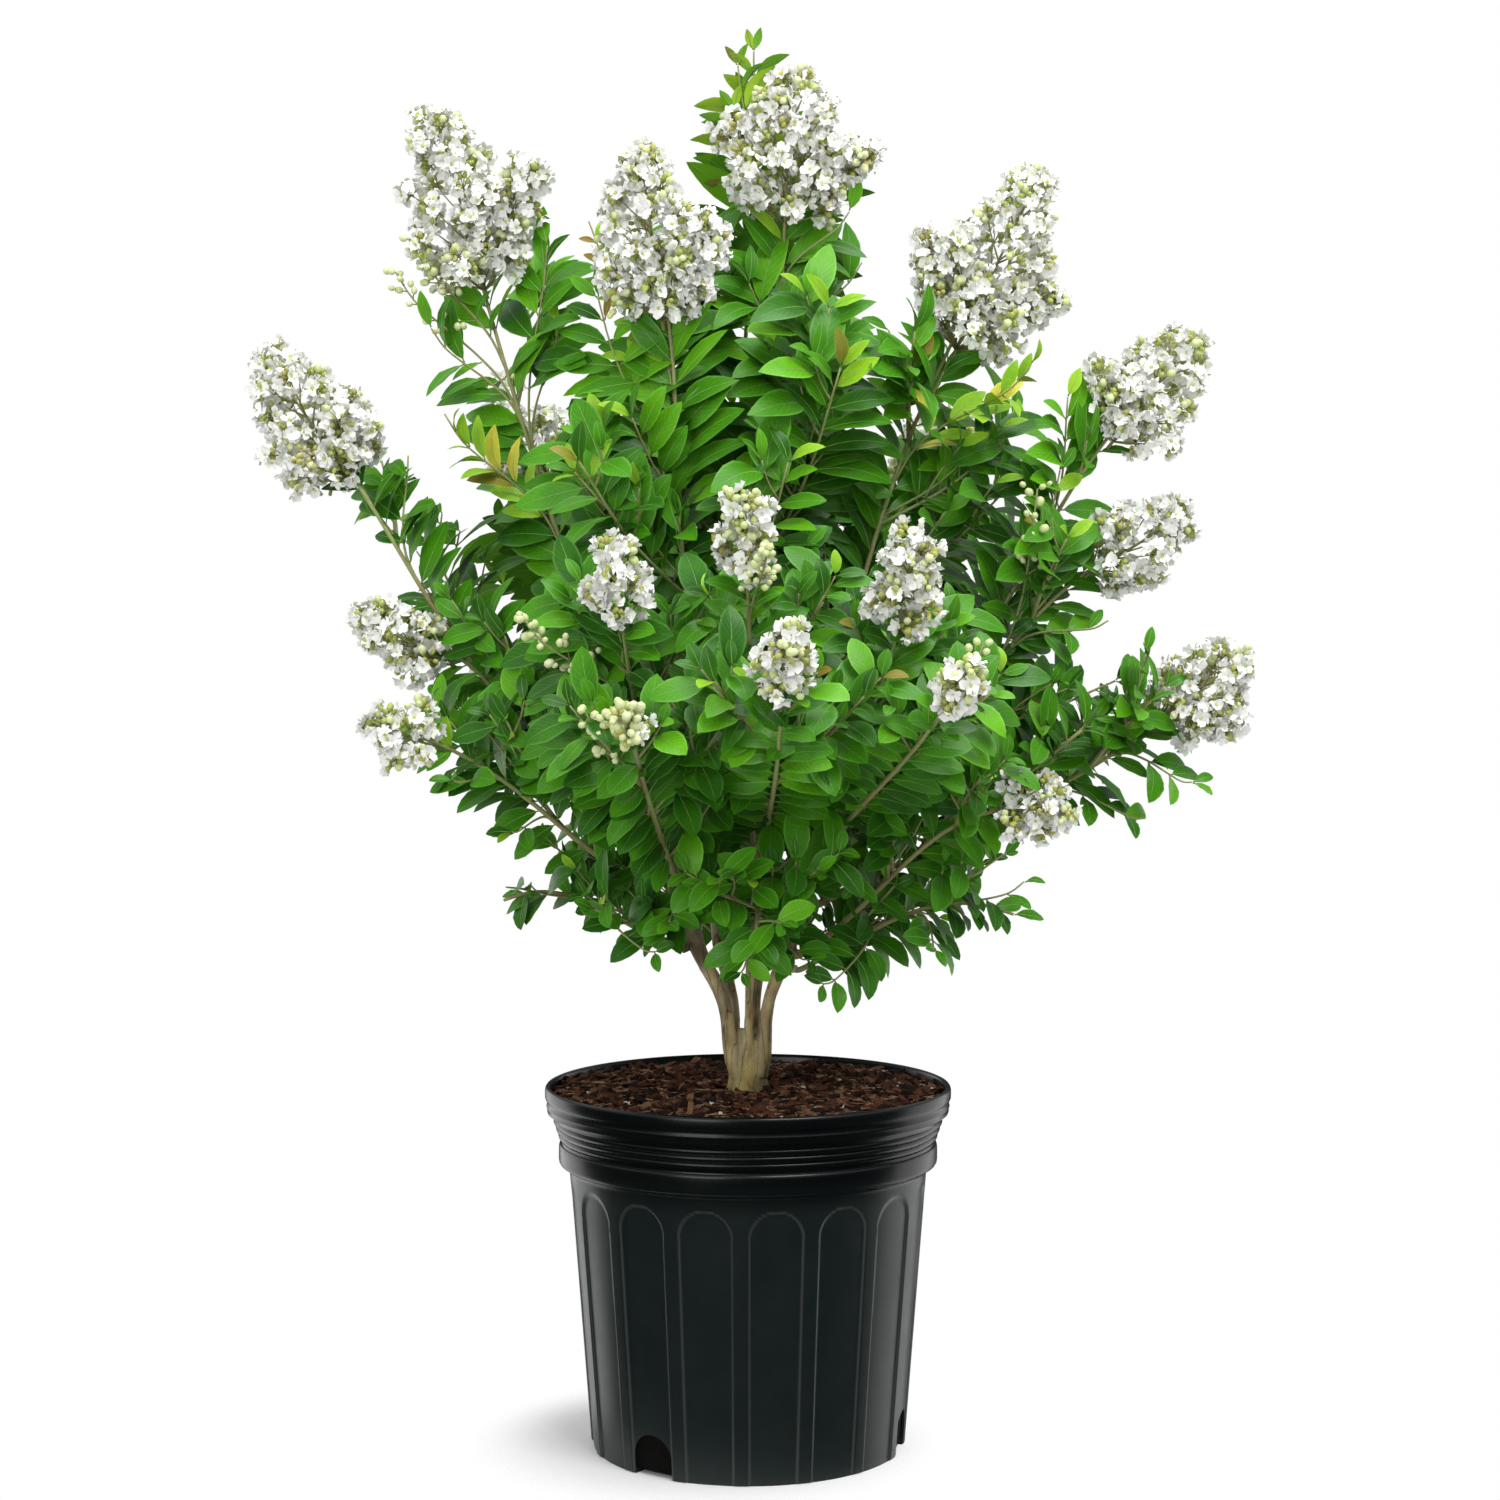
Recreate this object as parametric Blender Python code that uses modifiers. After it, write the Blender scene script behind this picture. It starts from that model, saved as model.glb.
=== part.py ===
# A crape myrtle in a round nursery pot: pot, soil, trunk, stems, boughs and foliage masses.
# Metres, +Z up. The pot stands on z = 0 with its axis at x = y = 0, and the front looks to -Y.

import math
import random
from collections import namedtuple

import bmesh
import bpy
import numpy as np
from mathutils import Matrix, Vector
from mathutils.geometry import interpolate_bezier

SEED = 7
GAP = 0.0003  # between pieces that touch
UP = Vector((0, 0, 1))

# Pot, as radius and height
TURNED_STEPS = 48
POT_OUTSIDE = [
    (0.1390, 0.2520),  # rolled edge
    (0.1410, 0.2505),
    (0.1410, 0.2435),
    (0.1397, 0.2425),
    (0.1395, 0.2340),  # foot of the lip
    (0.1332, 0.2255),  # ribbed collar
    (0.1306, 0.2125),
    (0.1313, 0.2105),  # raised band
    (0.1313, 0.1990),
    (0.1240, 0.1905),  # head of the tapered wall
    (0.1095, 0.0000),
]
POT_INSIDE = [
    (0.1375, 0.2505),
    (0.1288, 0.2245),
    (0.1276, 0.2010),
    (0.1205, 0.1890),
    (0.1066, 0.0035),
]
WALL_FOOT, WALL_HEAD = POT_OUTSIDE[-1], POT_OUTSIDE[-2]

# Sunk arches round the tapered wall, and the three drain holes at its foot
FLUTES = 16
FLUTE_PITCH = 360 / FLUTES
FLUTE_AZIMUTH = 9.0  # of the first one, from the front towards +X
FLUTE_ARC = 18.0
FLUTE_DEPTH = 0.0012
FLUTE_CROWN = 0.177
DRAIN_FLUTES = (-2, 3, 8)
DRAIN_WIDTH = 0.031
DRAIN_CROWN = 0.025
DRAIN_REACH = 0.012  # under the floor, from the wall inwards

# Soil
SOIL_SIDE_GAP = 0.0004
SOIL_MIDDLE = 0.2460
SOIL_EDGE = 0.2440
SOIL_FLAT = 0.030  # radius of the level middle that the trunk stands on

# Trunk: height above the soil, and radius
TRUNK_FLARE = [(0.0, 0.0185), (0.004, 0.0155), (0.012, 0.0130), (0.024, 0.0122)]
TRUNK_LEAN = (-0.04, 0.03)  # sideways run for each unit of height
STUB_HEIGHT = 0.306  # where each stem parts from the trunk

# Limbs
LIMB_POINTS = 9
STEM_TIP_RADIUS = 0.0028
STEM_SIDES, BOUGH_SIDES = 8, 5
BOUGH_RADII = (0.0034, 0.0021)
LEADER_RADII = (0.0026, 0.0014)
SHOOT_RADII = (0.0018, 0.0012)
COLLAR = 0.006  # straight run with which a bough leaves its stem
STEM_SHARE = 0.42  # of the way to the bloom, where the stem ends and its mass begins
BOUGH_SHARE = 0.26
HANDLE = 0.38  # of the span, how long a limb keeps its first and last direction

Limb = namedtuple("Limb", "path radii")
Stem = namedtuple("Stem", "foot azimuth lean radius leads_to")
STEMS = {
    "stem_left": Stem((-0.0068, -0.0050), 184, 17, 0.0062, "upper_left"),
    "stem_right": Stem((0.0078, -0.0045), -10, 14, 0.0060, "upper_right"),
    "stem_middle": Stem((0.0050, 0.0080), 60, 5, 0.0055, "top"),
    "stem_back": Stem((-0.0080, 0.0090), 125, 16, 0.0055, "back_top"),
}

# Foliage masses: the stem that carries each and the height at which it leaves it, the furthest
# tip, how far from the vertical that tip leans, and its bloom's length and width
Mass = namedtuple("Mass", "stem height tip lean bloom")
MASSES = {
    "top": Mass("stem_middle", None, (0.030, -0.020, 0.953), 4, (0.105, 0.100)),
    "upper_left": Mass("stem_left", None, (-0.216, -0.010, 0.929), 15, (0.130, 0.095)),
    "upper_right": Mass("stem_right", None, (0.202, -0.020, 0.884), 28, (0.135, 0.095)),
    "back_top": Mass("stem_back", None, (-0.060, 0.140, 0.850), 22, (0.110, 0.090)),
    "crest": Mass("stem_middle", 0.500, (0.004, 0.045, 0.920), 3, None),
    "upper_middle": Mass("stem_middle", 0.462, (-0.071, -0.100, 0.888), 16, (0.115, 0.088)),
    "left": Mass("stem_left", 0.470, (-0.333, -0.030, 0.761), 36, (0.105, 0.088)),
    "right": Mass("stem_right", 0.460, (0.309, -0.030, 0.774), 41, (0.095, 0.080)),
    "left_middle": Mass("stem_left", 0.420, (-0.270, -0.060, 0.583), 68, (0.075, 0.064)),
    "right_middle": Mass("stem_right", 0.415, (0.312, -0.040, 0.650), 64, (0.080, 0.068)),
    "left_low": Mass("stem_left", 0.385, (-0.250, -0.140, 0.512), 72, (0.055, 0.054)),
    "right_low": Mass("stem_right", 0.378, (0.350, -0.010, 0.555), 52, (0.080, 0.074)),
    "right_lowest": Mass("stem_right", 0.346, (0.222, -0.140, 0.449), 92, (0.058, 0.056)),
    "front_left": Mass("stem_left", 0.430, (-0.082, -0.235, 0.628), 34, (0.062, 0.052)),
    "front_middle": Mass("stem_middle", 0.432, (-0.002, -0.240, 0.660), 28, (0.070, 0.048)),
    "front_right": Mass("stem_right", 0.435, (0.106, -0.225, 0.634), 32, (0.078, 0.060)),
    "front_low": Mass("stem_middle", 0.390, (0.022, -0.325, 0.572), 44, (0.055, 0.050)),
    "front_low_left": Mass("stem_left", 0.372, (-0.074, -0.290, 0.525), 56, (0.040, 0.036)),
    "front_low_right": Mass("stem_right", 0.398, (0.135, -0.290, 0.548), 58, (0.048, 0.042)),
    "back_left": Mass("stem_back", 0.480, (-0.190, 0.200, 0.765), 36, (0.100, 0.084)),
    "back_right": Mass("stem_middle", 0.470, (0.165, 0.205, 0.745), 36, (0.100, 0.084)),
    "back_middle": Mass("stem_back", 0.430, (-0.005, 0.270, 0.660), 44, (0.090, 0.078)),
    "back_low_left": Mass("stem_back", 0.395, (-0.205, 0.255, 0.550), 60, (0.080, 0.070)),
    "back_low_right": Mass("stem_middle", 0.385, (0.215, 0.250, 0.530), 60, (0.080, 0.070)),
    "back_low": Mass("stem_back", 0.360, (0.010, 0.335, 0.500), 68, (0.070, 0.060)),
    "skirt_left": Mass("stem_left", 0.350, (-0.165, -0.055, 0.385), 112, None),
    "skirt_right": Mass("stem_right", 0.335, (0.180, -0.050, 0.375), 112, None),
    "skirt_front": Mass("stem_middle", 0.350, (0.005, -0.160, 0.370), 112, None),
    "skirt_back": Mass("stem_back", 0.345, (-0.010, 0.175, 0.370), 112, None),
}

# Side shoots of a mass, as shares of its leader
SIDE_SHOOTS = 4
SIDE_FIRST, SIDE_SPREAD = 0.08, 0.19
SIDE_SHARE = 0.50  # of the leader's length that is still ahead, and a fixed length more
SIDE_MORE = 0.030
SIDE_ANGLE = 42
SIDE_CURL = 0.4  # back towards the leader's direction
SIDE_CLEAR = 0.022  # from the shoots of other masses
LIMB_CLEAR = 0.008
UPRIGHT = 0.80  # rise for each unit of length, above which a shoot bears leaves all round

# Leaves, in opposite pairs
LEAF_LENGTH = 0.086
LEAF_WIDTH = 0.040
LEAF_THICKNESS = 0.0030
LEAF_BELLY = 0.45  # widest place along the leaf
LEAF_FOLD = 0.005  # how far its edges stand above its midrib
LEAF_ARCH = 0.007
LEAF_SPACING = 0.029
LEAF_HEIGHTS, LEAF_SIZES = (0.35, 0.75), (0.75, 1.08)  # small near the soil, large above
LEAF_ATTEMPTS = 8
LEAF_SHRINK = 0.07  # at each attempt
LEAF_ANGLE, LEAF_SWAY = 54, 14  # from the shoot
LAST_SPREAD = 0.6  # of that angle, for the pair at a shoot's end
LEAF_DROOP = (0.05, 0.35)
LEAF_OUTWARD = 0.8  # how far leaves face outwards, for each unit that they face up
LEAF_ROLL = 0.5  # the most that they face to one side, for the same unit
LOWEST_LEAF = 0.275
LEAF_CLEAR = 0.002
LEAF_APART = 0.008  # between the leaves of one mass
TWIG_CLEAR = 0.006  # from any twig of its own mass, past its root
ROOT_SAMPLES = 1
PAIR_STEP = 0.004  # along the shoot, between the two leaves of a pair
ROOT_DEPTH = 0.45  # of a leaf past its twig's centre line, as a share of the twig's radius

# Blooms
BLOOM_SIDES, BLOOM_RINGS = 6, 3
BLOOM_LUMPS = (1.18, 0.82)
BLOSSOM_SLOT = 1  # the second material of a mass
BLOOM_SINK = 0.25  # share of a bloom that its twig runs into
BLOOM_CLEAR = (0.60, 0.48)  # of its width, from its middle line, for others' leaves and its own


def make_material(name, colour, roughness, metallic=0.0):
    material = bpy.data.materials.new(name)
    material.use_nodes = True
    shader = material.node_tree.nodes["Principled BSDF"]
    shader.inputs["Base Color"].default_value = (*colour, 1)
    shader.inputs["Roughness"].default_value = roughness
    shader.inputs["Metallic"].default_value = metallic
    material.diffuse_color = (*colour, 1)
    return material


def new_collection(name, hidden=False):
    collection = bpy.data.collections.new(name)
    bpy.context.scene.collection.children.link(collection)
    collection.hide_render = hidden
    return collection


def add_object(name, data, collection, material=None):
    obj = bpy.data.objects.new(name, data)
    collection.objects.link(obj)
    if material:
        data.materials.append(material)
    return obj


def shape_to_object(name, shape, collection, material=None):
    bmesh.ops.recalc_face_normals(shape, faces=shape.faces)
    mesh = bpy.data.meshes.new(name)
    shape.to_mesh(mesh)
    shape.free()
    return add_object(name, mesh, collection, material)


def remove_object(obj):
    data = obj.data
    bpy.data.objects.remove(obj)
    if isinstance(data, bpy.types.Curve):
        bpy.data.curves.remove(data)
    else:
        bpy.data.meshes.remove(data)


def evaluated_mesh(obj):
    bpy.context.view_layer.update()
    graph = bpy.context.evaluated_depsgraph_get()
    return bpy.data.meshes.new_from_object(obj.evaluated_get(graph))


def welded_mesh(obj):
    """A curve object as a mesh, with its loose caps welded on."""
    mesh = evaluated_mesh(obj)
    shape = bmesh.new()
    shape.from_mesh(mesh)
    bmesh.ops.remove_doubles(shape, verts=shape.verts, dist=1e-6)
    bmesh.ops.recalc_face_normals(shape, faces=shape.faces)
    shape.to_mesh(mesh)
    shape.free()
    return mesh


def curve_to_mesh(curve, collection, material):
    """A mesh object in the place of a curve object, which is removed."""
    name, matrix = curve.name, curve.matrix_world.copy()
    mesh = welded_mesh(curve)
    remove_object(curve)
    mesh.materials.clear()
    obj = add_object(name, mesh, collection, material)
    obj.matrix_world = matrix
    return obj


def add_boolean(obj, operation, other, solver="EXACT"):
    modifier = obj.modifiers.new(operation.title(), "BOOLEAN")
    modifier.operation = operation
    modifier.solver = solver
    if isinstance(other, bpy.types.Collection):
        modifier.operand_type = "COLLECTION"
        modifier.collection = other
    else:
        modifier.object = other


def closed(mesh):
    """Whether every edge of the mesh joins two faces."""
    shape = bmesh.new()
    shape.from_mesh(mesh)
    whole = bool(shape.edges) and all(edge.is_manifold for edge in shape.edges)
    shape.free()
    return whole


def keep_largest_shell(mesh):
    """Drops loose scraps, and the inner walls of sealed hollows, which fills them."""
    shape = bmesh.new()
    shape.from_mesh(mesh)
    waiting, shells = set(shape.verts), []
    while waiting:
        shell, edge = set(), [waiting.pop()]
        while edge:
            vert = edge.pop()
            shell.add(vert)
            linked = {link.other_vert(vert) for link in vert.link_edges} & waiting
            waiting -= linked
            edge.extend(linked)
        shells.append(shell)
    loose = set(shape.verts) - max(shells, key=len)
    bmesh.ops.delete(shape, geom=list(loose), context="VERTS")
    shape.to_mesh(mesh)
    shape.free()


def fuse(obj, extras):
    """One solid of the object and all that the collection holds, which is then removed."""
    for solver in ("EXACT", "MANIFOLD"):
        obj.modifiers.clear()
        add_boolean(obj, "UNION", extras, solver)
        fused = evaluated_mesh(obj)
        if closed(fused):
            break
    keep_largest_shell(fused)
    obj.modifiers.clear()
    old = obj.data
    obj.data = fused
    bpy.data.meshes.remove(old)
    for extra in list(extras.objects):
        remove_object(extra)


def turned(name, profile, collection, material=None, cyclic=False):
    """A round piece from its section, listed down the outer side."""
    mesh = bpy.data.meshes.new(name)
    count = len(profile)
    edges = [(i, (i + 1) % count) for i in range(count if cyclic else count - 1)]
    mesh.from_pydata([(radius, 0, height) for radius, height in profile], edges, [])
    obj = add_object(name, mesh, collection, material)
    obj.rotation_euler.z = math.radians(FLUTE_AZIMUTH + 180 / TURNED_STEPS)
    screw = obj.modifiers.new("Turn", "SCREW")
    screw.steps = screw.render_steps = TURNED_STEPS
    screw.use_merge_vertices = True
    screw.merge_threshold = 1e-5
    screw.use_smooth_shade = True
    return obj


def arch_mesh(foot_width, head_width, foot, crown, depth, arc_steps=6):
    """A flat arch in the XY plane, crown at +Y, with its depth along Z."""
    curve = bpy.data.curves.new("arch", "CURVE")
    curve.dimensions = "2D"
    curve.fill_mode = "BOTH"
    curve.extrude = depth / 2
    radius = head_width / 2
    outline = [(foot_width / 2, foot)]
    for step in range(arc_steps + 1):
        turn = math.pi * step / arc_steps
        outline.append((radius * math.cos(turn), crown - radius + radius * math.sin(turn)))
    outline.append((-foot_width / 2, foot))
    spline = curve.splines.new("POLY")
    spline.points.add(len(outline) - 1)
    for point, (x, y) in zip(spline.points, outline):
        point.co = (x, y, 0, 1)
    spline.use_cyclic_u = True
    obj = bpy.data.objects.new("arch", curve)
    bpy.context.scene.collection.objects.link(obj)
    mesh = welded_mesh(obj)
    remove_object(obj)
    return mesh


def arches_round_pot(name, mesh, radius, flutes, collection):
    """One object with a copy of the arch standing in each of the flutes named."""
    shape = bmesh.new()
    for flute in flutes:
        azimuth = math.radians(FLUTE_AZIMUTH + FLUTE_PITCH * flute)
        outward = Vector((math.sin(azimuth), -math.cos(azimuth), 0))
        across = Vector((math.cos(azimuth), math.sin(azimuth), 0))
        place = Matrix((across, UP, outward)).transposed().to_4x4()
        place.translation = outward * radius
        before = len(shape.verts)
        shape.from_mesh(mesh)
        shape.verts.ensure_lookup_table()
        bmesh.ops.transform(shape, matrix=place, verts=shape.verts[before:])
    joined = bpy.data.meshes.new(name)
    shape.to_mesh(joined)
    shape.free()
    cutter = add_object(name, joined, collection)
    cutter.display_type = "WIRE"
    cutter.hide_render = True
    return cutter


def wall_radius(height):
    (foot_radius, foot), (head_radius, head) = WALL_FOOT, WALL_HEAD
    return foot_radius + (head_radius - foot_radius) * (height - foot) / (head - foot)


def add_flute_cutter(cutters):
    """The skin of the tapered wall, to the depth of a flute, within the arches."""
    below, above, outside = -0.010, WALL_HEAD[1], 0.008
    skin = [
        (wall_radius(above) + outside, above),
        (wall_radius(below) + outside, below),
        (wall_radius(below) - FLUTE_DEPTH, below),
        (wall_radius(above) - FLUTE_DEPTH, above),
    ]
    ring = turned("flute_skin", skin, cutters, cyclic=True)
    ring.display_type = "WIRE"
    ring.hide_render = True
    half_arc = math.radians(FLUTE_ARC / 2)
    foot_width = 2 * wall_radius(below) * math.sin(half_arc)
    head_width = 2 * wall_radius(FLUTE_CROWN) * math.sin(half_arc)
    arch = arch_mesh(foot_width, head_width, 2 * below, FLUTE_CROWN, depth=0.050)
    cutter = arches_round_pot("flutes", arch, wall_radius(0), range(FLUTES), cutters)
    add_boolean(cutter, "INTERSECT", ring, "MANIFOLD")
    return cutter


def add_drain_cutter(cutters):
    depth = 0.050
    middle = WALL_FOOT[0] - DRAIN_REACH + depth / 2
    arch = arch_mesh(DRAIN_WIDTH, DRAIN_WIDTH, -0.010, DRAIN_CROWN, depth)
    return arches_round_pot("drain_holes", arch, middle, DRAIN_FLUTES, cutters)


def add_pot(parts, cutters):
    plastic = make_material("pot_plastic", (0.018, 0.020, 0.020), 0.38)
    underside, floor = (0.0, 0.0), (0.0, POT_INSIDE[-1][1])
    profile = [floor, *reversed(POT_INSIDE), *POT_OUTSIDE, underside]
    pot = turned("pot", profile, parts, plastic)
    for cutter in (add_flute_cutter(cutters), add_drain_cutter(cutters)):
        add_boolean(pot, "DIFFERENCE", cutter, "MANIFOLD")  # exact cuts leave its seams open


def add_soil(parts):
    mulch = make_material("bark_mulch", (0.070, 0.036, 0.022), 0.95)
    side = [(radius - SOIL_SIDE_GAP, height) for radius, height in POT_INSIDE[1:-1]]
    (rim_radius, rim), (lip_radius, lip) = POT_INSIDE[:2]
    edge_radius = lip_radius + (rim_radius - lip_radius) * (SOIL_EDGE - lip) / (rim - lip)
    floor_radius, floor = POT_INSIDE[-1]
    profile = [
        (0.0, SOIL_MIDDLE),
        (SOIL_FLAT, SOIL_MIDDLE),
        (edge_radius - SOIL_SIDE_GAP, SOIL_EDGE),
        *side,
        (floor_radius - SOIL_SIDE_GAP, floor + GAP),
        (0.0, floor + GAP),
    ]
    turned("soil", profile, parts, mulch)


def distances(points, path):
    """The distance from each point to a path of straight runs."""
    points = np.asarray(points)[:, None]
    path = np.asarray(path)
    starts, runs = path[:-1], np.diff(path, axis=0)
    along = ((points - starts) * runs).sum(axis=2) / (runs * runs).sum(axis=1)
    nearest = starts + np.clip(along, 0, 1)[..., None] * runs
    return np.linalg.norm(points - nearest, axis=2).min(axis=1)


def leaning(azimuth, lean):
    """The direction that leans this far from the vertical, towards the azimuth from +X."""
    azimuth, lean = math.radians(azimuth), math.radians(lean)
    return Vector(
        (math.sin(lean) * math.cos(azimuth), math.sin(lean) * math.sin(azimuth), math.cos(lean))
    )


def arrival(foot, mass):
    """The direction in which a mass's leader reaches its tip: outwards, at its own lean."""
    outward = Vector(mass.tip) - foot
    return leaning(math.degrees(math.atan2(outward.y, outward.x)), mass.lean)


def limb_path(foot, rise, mass):
    """A smooth path from a foot to the middle of the mass's bloom, or to its leafy tip."""
    arrive = arrival(foot, mass)
    end = Vector(mass.tip)
    if mass.bloom:
        end -= arrive * mass.bloom[0] * (1 - BLOOM_SINK)
    handle = HANDLE * (end - foot).length
    return interpolate_bezier(foot, foot + rise * handle, end - arrive * handle, end, LIMB_POINTS)


def path_lengths(path):
    runs = [(b - a).length for a, b in zip(path, path[1:])]
    return np.concatenate([[0], np.cumsum(runs)])


def frames_along(path):
    """Axes at each point of a path, as across, upwards and onwards, turned as little as may be."""
    runs = [(b - a).normalized() for a, b in zip(path, path[1:])]
    onward = [runs[0], *((a + b).normalized() for a, b in zip(runs, runs[1:])), runs[-1]]
    across = UP.cross(runs[0])
    frames = []
    for direction in onward:
        across = (across - direction * across.dot(direction)).normalized()
        frames.append(Matrix((across, direction.cross(across), direction)).transposed())
    return frames


def point_along(path, length):
    """The place that far along a path, and its axes there."""
    lengths = path_lengths(path)
    run = int(np.clip(np.searchsorted(lengths, length) - 1, 0, len(path) - 2))
    share = (length - lengths[run]) / (lengths[run + 1] - lengths[run])
    return path[run].lerp(path[run + 1], share), frames_along(path)[run + (share > 0.5)]


def face_direction(frame, face):
    """Out of one face of a three-sided twig: 0 and 1 look up to either side, and 2 looks down."""
    turn = math.radians(30 + 120 * face)
    return frame @ Vector((math.cos(turn), math.sin(turn), 0))


def split_path(path, share):
    """Both parts of a path, parted by the gap in the middle of the run at that share."""
    run = round(share * (len(path) - 2))
    middle = (path[run] + path[run + 1]) / 2
    direction = (path[run + 1] - path[run]).normalized()
    return [*path[: run + 1], middle], [middle + direction * GAP, *path[run + 1 :]]


def split_at_height(path, height):
    run = next(i for i in range(len(path) - 1) if path[i + 1].z > height)
    share = (height - path[run].z) / (path[run + 1].z - path[run].z)
    middle = path[run].lerp(path[run + 1], share)
    direction = (path[run + 1] - path[run]).normalized()
    return [*path[: run + 1], middle], [middle + direction * GAP, *path[run + 1 :]]


def ring_curve(sides):
    """The section that a many-sided tube is drawn with, one unit in radius."""
    curve = bpy.data.curves.new("section", "CURVE")
    spline = curve.splines.new("POLY")
    spline.points.add(sides - 1)
    for side, point in enumerate(spline.points):
        turn = 2 * math.pi * side / sides
        point.co = (math.cos(turn), math.sin(turn), 0, 1)
    spline.use_cyclic_u = True
    return bpy.data.objects.new("section", curve)


def tube(name, path, radii, sides, collection, material=None):
    """A tapering many-sided solid along a path, its radii spread evenly by length."""
    section = ring_curve(sides)
    bpy.context.scene.collection.objects.link(section)
    curve = bpy.data.curves.new(name, "CURVE")
    curve.dimensions = "3D"
    curve.bevel_mode = "OBJECT"
    curve.bevel_object = section
    curve.use_fill_caps = True
    spline = curve.splines.new("POLY")
    spline.points.add(len(path) - 1)
    lengths = path_lengths(path)
    spread = np.linspace(0, 1, len(radii))
    sizes = np.interp(lengths / lengths[-1], spread, radii)
    for point, place, size in zip(spline.points, path, sizes):
        point.co = (*place, 1)
        point.radius = size
    obj = bpy.data.objects.new(name, curve)
    collection.objects.link(obj)
    solid = curve_to_mesh(obj, collection, material)
    remove_object(section)
    return solid


def stem_paths():
    """Each stem's whole path, from inside the trunk to the middle of its own bloom."""
    paths = {}
    for name, stem in STEMS.items():
        foot = Vector((*stem.foot, SOIL_MIDDLE + TRUNK_FLARE[-2][0]))
        paths[name] = limb_path(foot, leaning(stem.azimuth, stem.lean), MASSES[stem.leads_to])
    return paths


def bough_path(mass, stem):
    """From the side of the stem that faces the mass, 0.3 mm clear of it, to the mass's tip."""
    below, above = split_at_height(stem.path, mass.height)
    centre = below[-1]
    direction = (above[1] - centre).normalized()
    share = path_lengths(below)[-1] / path_lengths(stem.path)[-1]
    radius = stem.radii[0] + (stem.radii[1] - stem.radii[0]) * share
    outward = Vector(mass.tip) - centre
    outward = (outward - direction * outward.dot(direction)).normalized()
    foot = centre + outward * (radius + GAP)
    knee = foot + outward * COLLAR
    rise = (outward + direction * 0.8).normalized()
    return [foot, *limb_path(knee, rise, mass)]


def add_trunk(parts, bark, stubs):
    """The stump from its flat cut on the soil to the fork, with the foot of every stem."""
    soil = SOIL_MIDDLE + GAP
    path = [Vector((TRUNK_LEAN[0] * h, TRUNK_LEAN[1] * h, soil + h)) for h, _ in TRUNK_FLARE]
    path.insert(1, path[0] + UP * 0.001)
    heights = [h for h, _ in TRUNK_FLARE]
    radii = [r for _, r in TRUNK_FLARE]
    spread = np.linspace(0, heights[-1], 9)
    trunk = tube("trunk", path, np.interp(spread, heights, radii), 12, parts, bark)
    extras = new_collection("trunk_extras")
    for name, stub in stubs.items():
        tube(name + "_stub", stub, [STEMS[name].radius] * 2, STEM_SIDES, extras)
    fuse(trunk, extras)
    bpy.data.collections.remove(extras)


def twig(name, path, radii, collection, material=None):
    """A three-sided twig: a triangle drawn out from point to point, one edge up."""
    sizes = np.interp(path_lengths(path) / path_lengths(path)[-1], (0, 1), radii)
    places = [
        Matrix.Translation(point) @ frame.to_4x4() @ Matrix.Scale(size, 4)
        for point, frame, size in zip(path, frames_along(path), sizes)
    ]
    shape = bmesh.new()
    bmesh.ops.create_circle(shape, cap_ends=True, segments=3, radius=1, matrix=places[0])
    end = root = shape.faces[:][0]
    for old, new in zip(places, places[1:]):
        grown = bmesh.ops.extrude_face_region(shape, geom=[end])["geom"]
        if end is not root:
            bmesh.ops.delete(shape, geom=[end], context="FACES_ONLY")
        end = next(item for item in grown if isinstance(item, bmesh.types.BMFace))
        bmesh.ops.transform(shape, matrix=new @ old.inverted(), verts=end.verts)
    return shape_to_object(name, shape, collection, material)


def leaf_point(x, y, z, size, root, frame):
    """Where a point of the unit ball goes: x from root to tip, y across and z through."""
    share = LEAF_BELLY * (1 + x) if x < 0 else LEAF_BELLY + (1 - LEAF_BELLY) * x
    along = LEAF_LENGTH * share * size
    across = LEAF_WIDTH / 2 * y * size
    through = LEAF_THICKNESS / 2 * z + LEAF_FOLD * abs(y) + LEAF_ARCH * (1 - x * x)
    return root + frame @ Vector((along, across, through))


def leaf_samples(size, root, frame):
    """Points over a leaf, from near its root to its tip."""
    places = [(-0.7, 0.0)]
    for x, y in [(-0.4, 0.6), (-0.2, 0.8), (0.0, 1.0), (0.25, 0.75), (0.5, 0.5), (0.75, 0.25)]:
        places += [(x, -y), (x, -y / 2), (x, 0), (x, y / 2), (x, y)]
    places.append((1.0, 0.0))
    return np.array([leaf_point(x, y, 0, size, root, frame) for x, y in places])


def leaf_frame(node, heading, rng):
    """Axes of a leaf that faces the sky and outwards: midrib, across, and out of its upper side."""
    along = (heading - UP * rng.uniform(*LEAF_DROOP)).normalized()
    outward = Vector((node.x, node.y, 0)).normalized()
    sideways = UP.cross(outward) * rng.uniform(-LEAF_ROLL, LEAF_ROLL)
    across = (UP + outward * LEAF_OUTWARD + sideways).cross(along).normalized()
    return Matrix((along, across, along.cross(across))).transposed()


def make_leaf(name, size, root, frame, collection):
    """A folded, arched leaf of eight faces: a four-sided ball drawn out along its midrib."""
    shape = bmesh.new()
    bmesh.ops.create_uvsphere(shape, u_segments=4, v_segments=2, radius=1)
    for vert in shape.verts:
        vert.co = leaf_point(*vert.co, size, root, frame)
    return shape_to_object(name, shape, collection)


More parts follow.
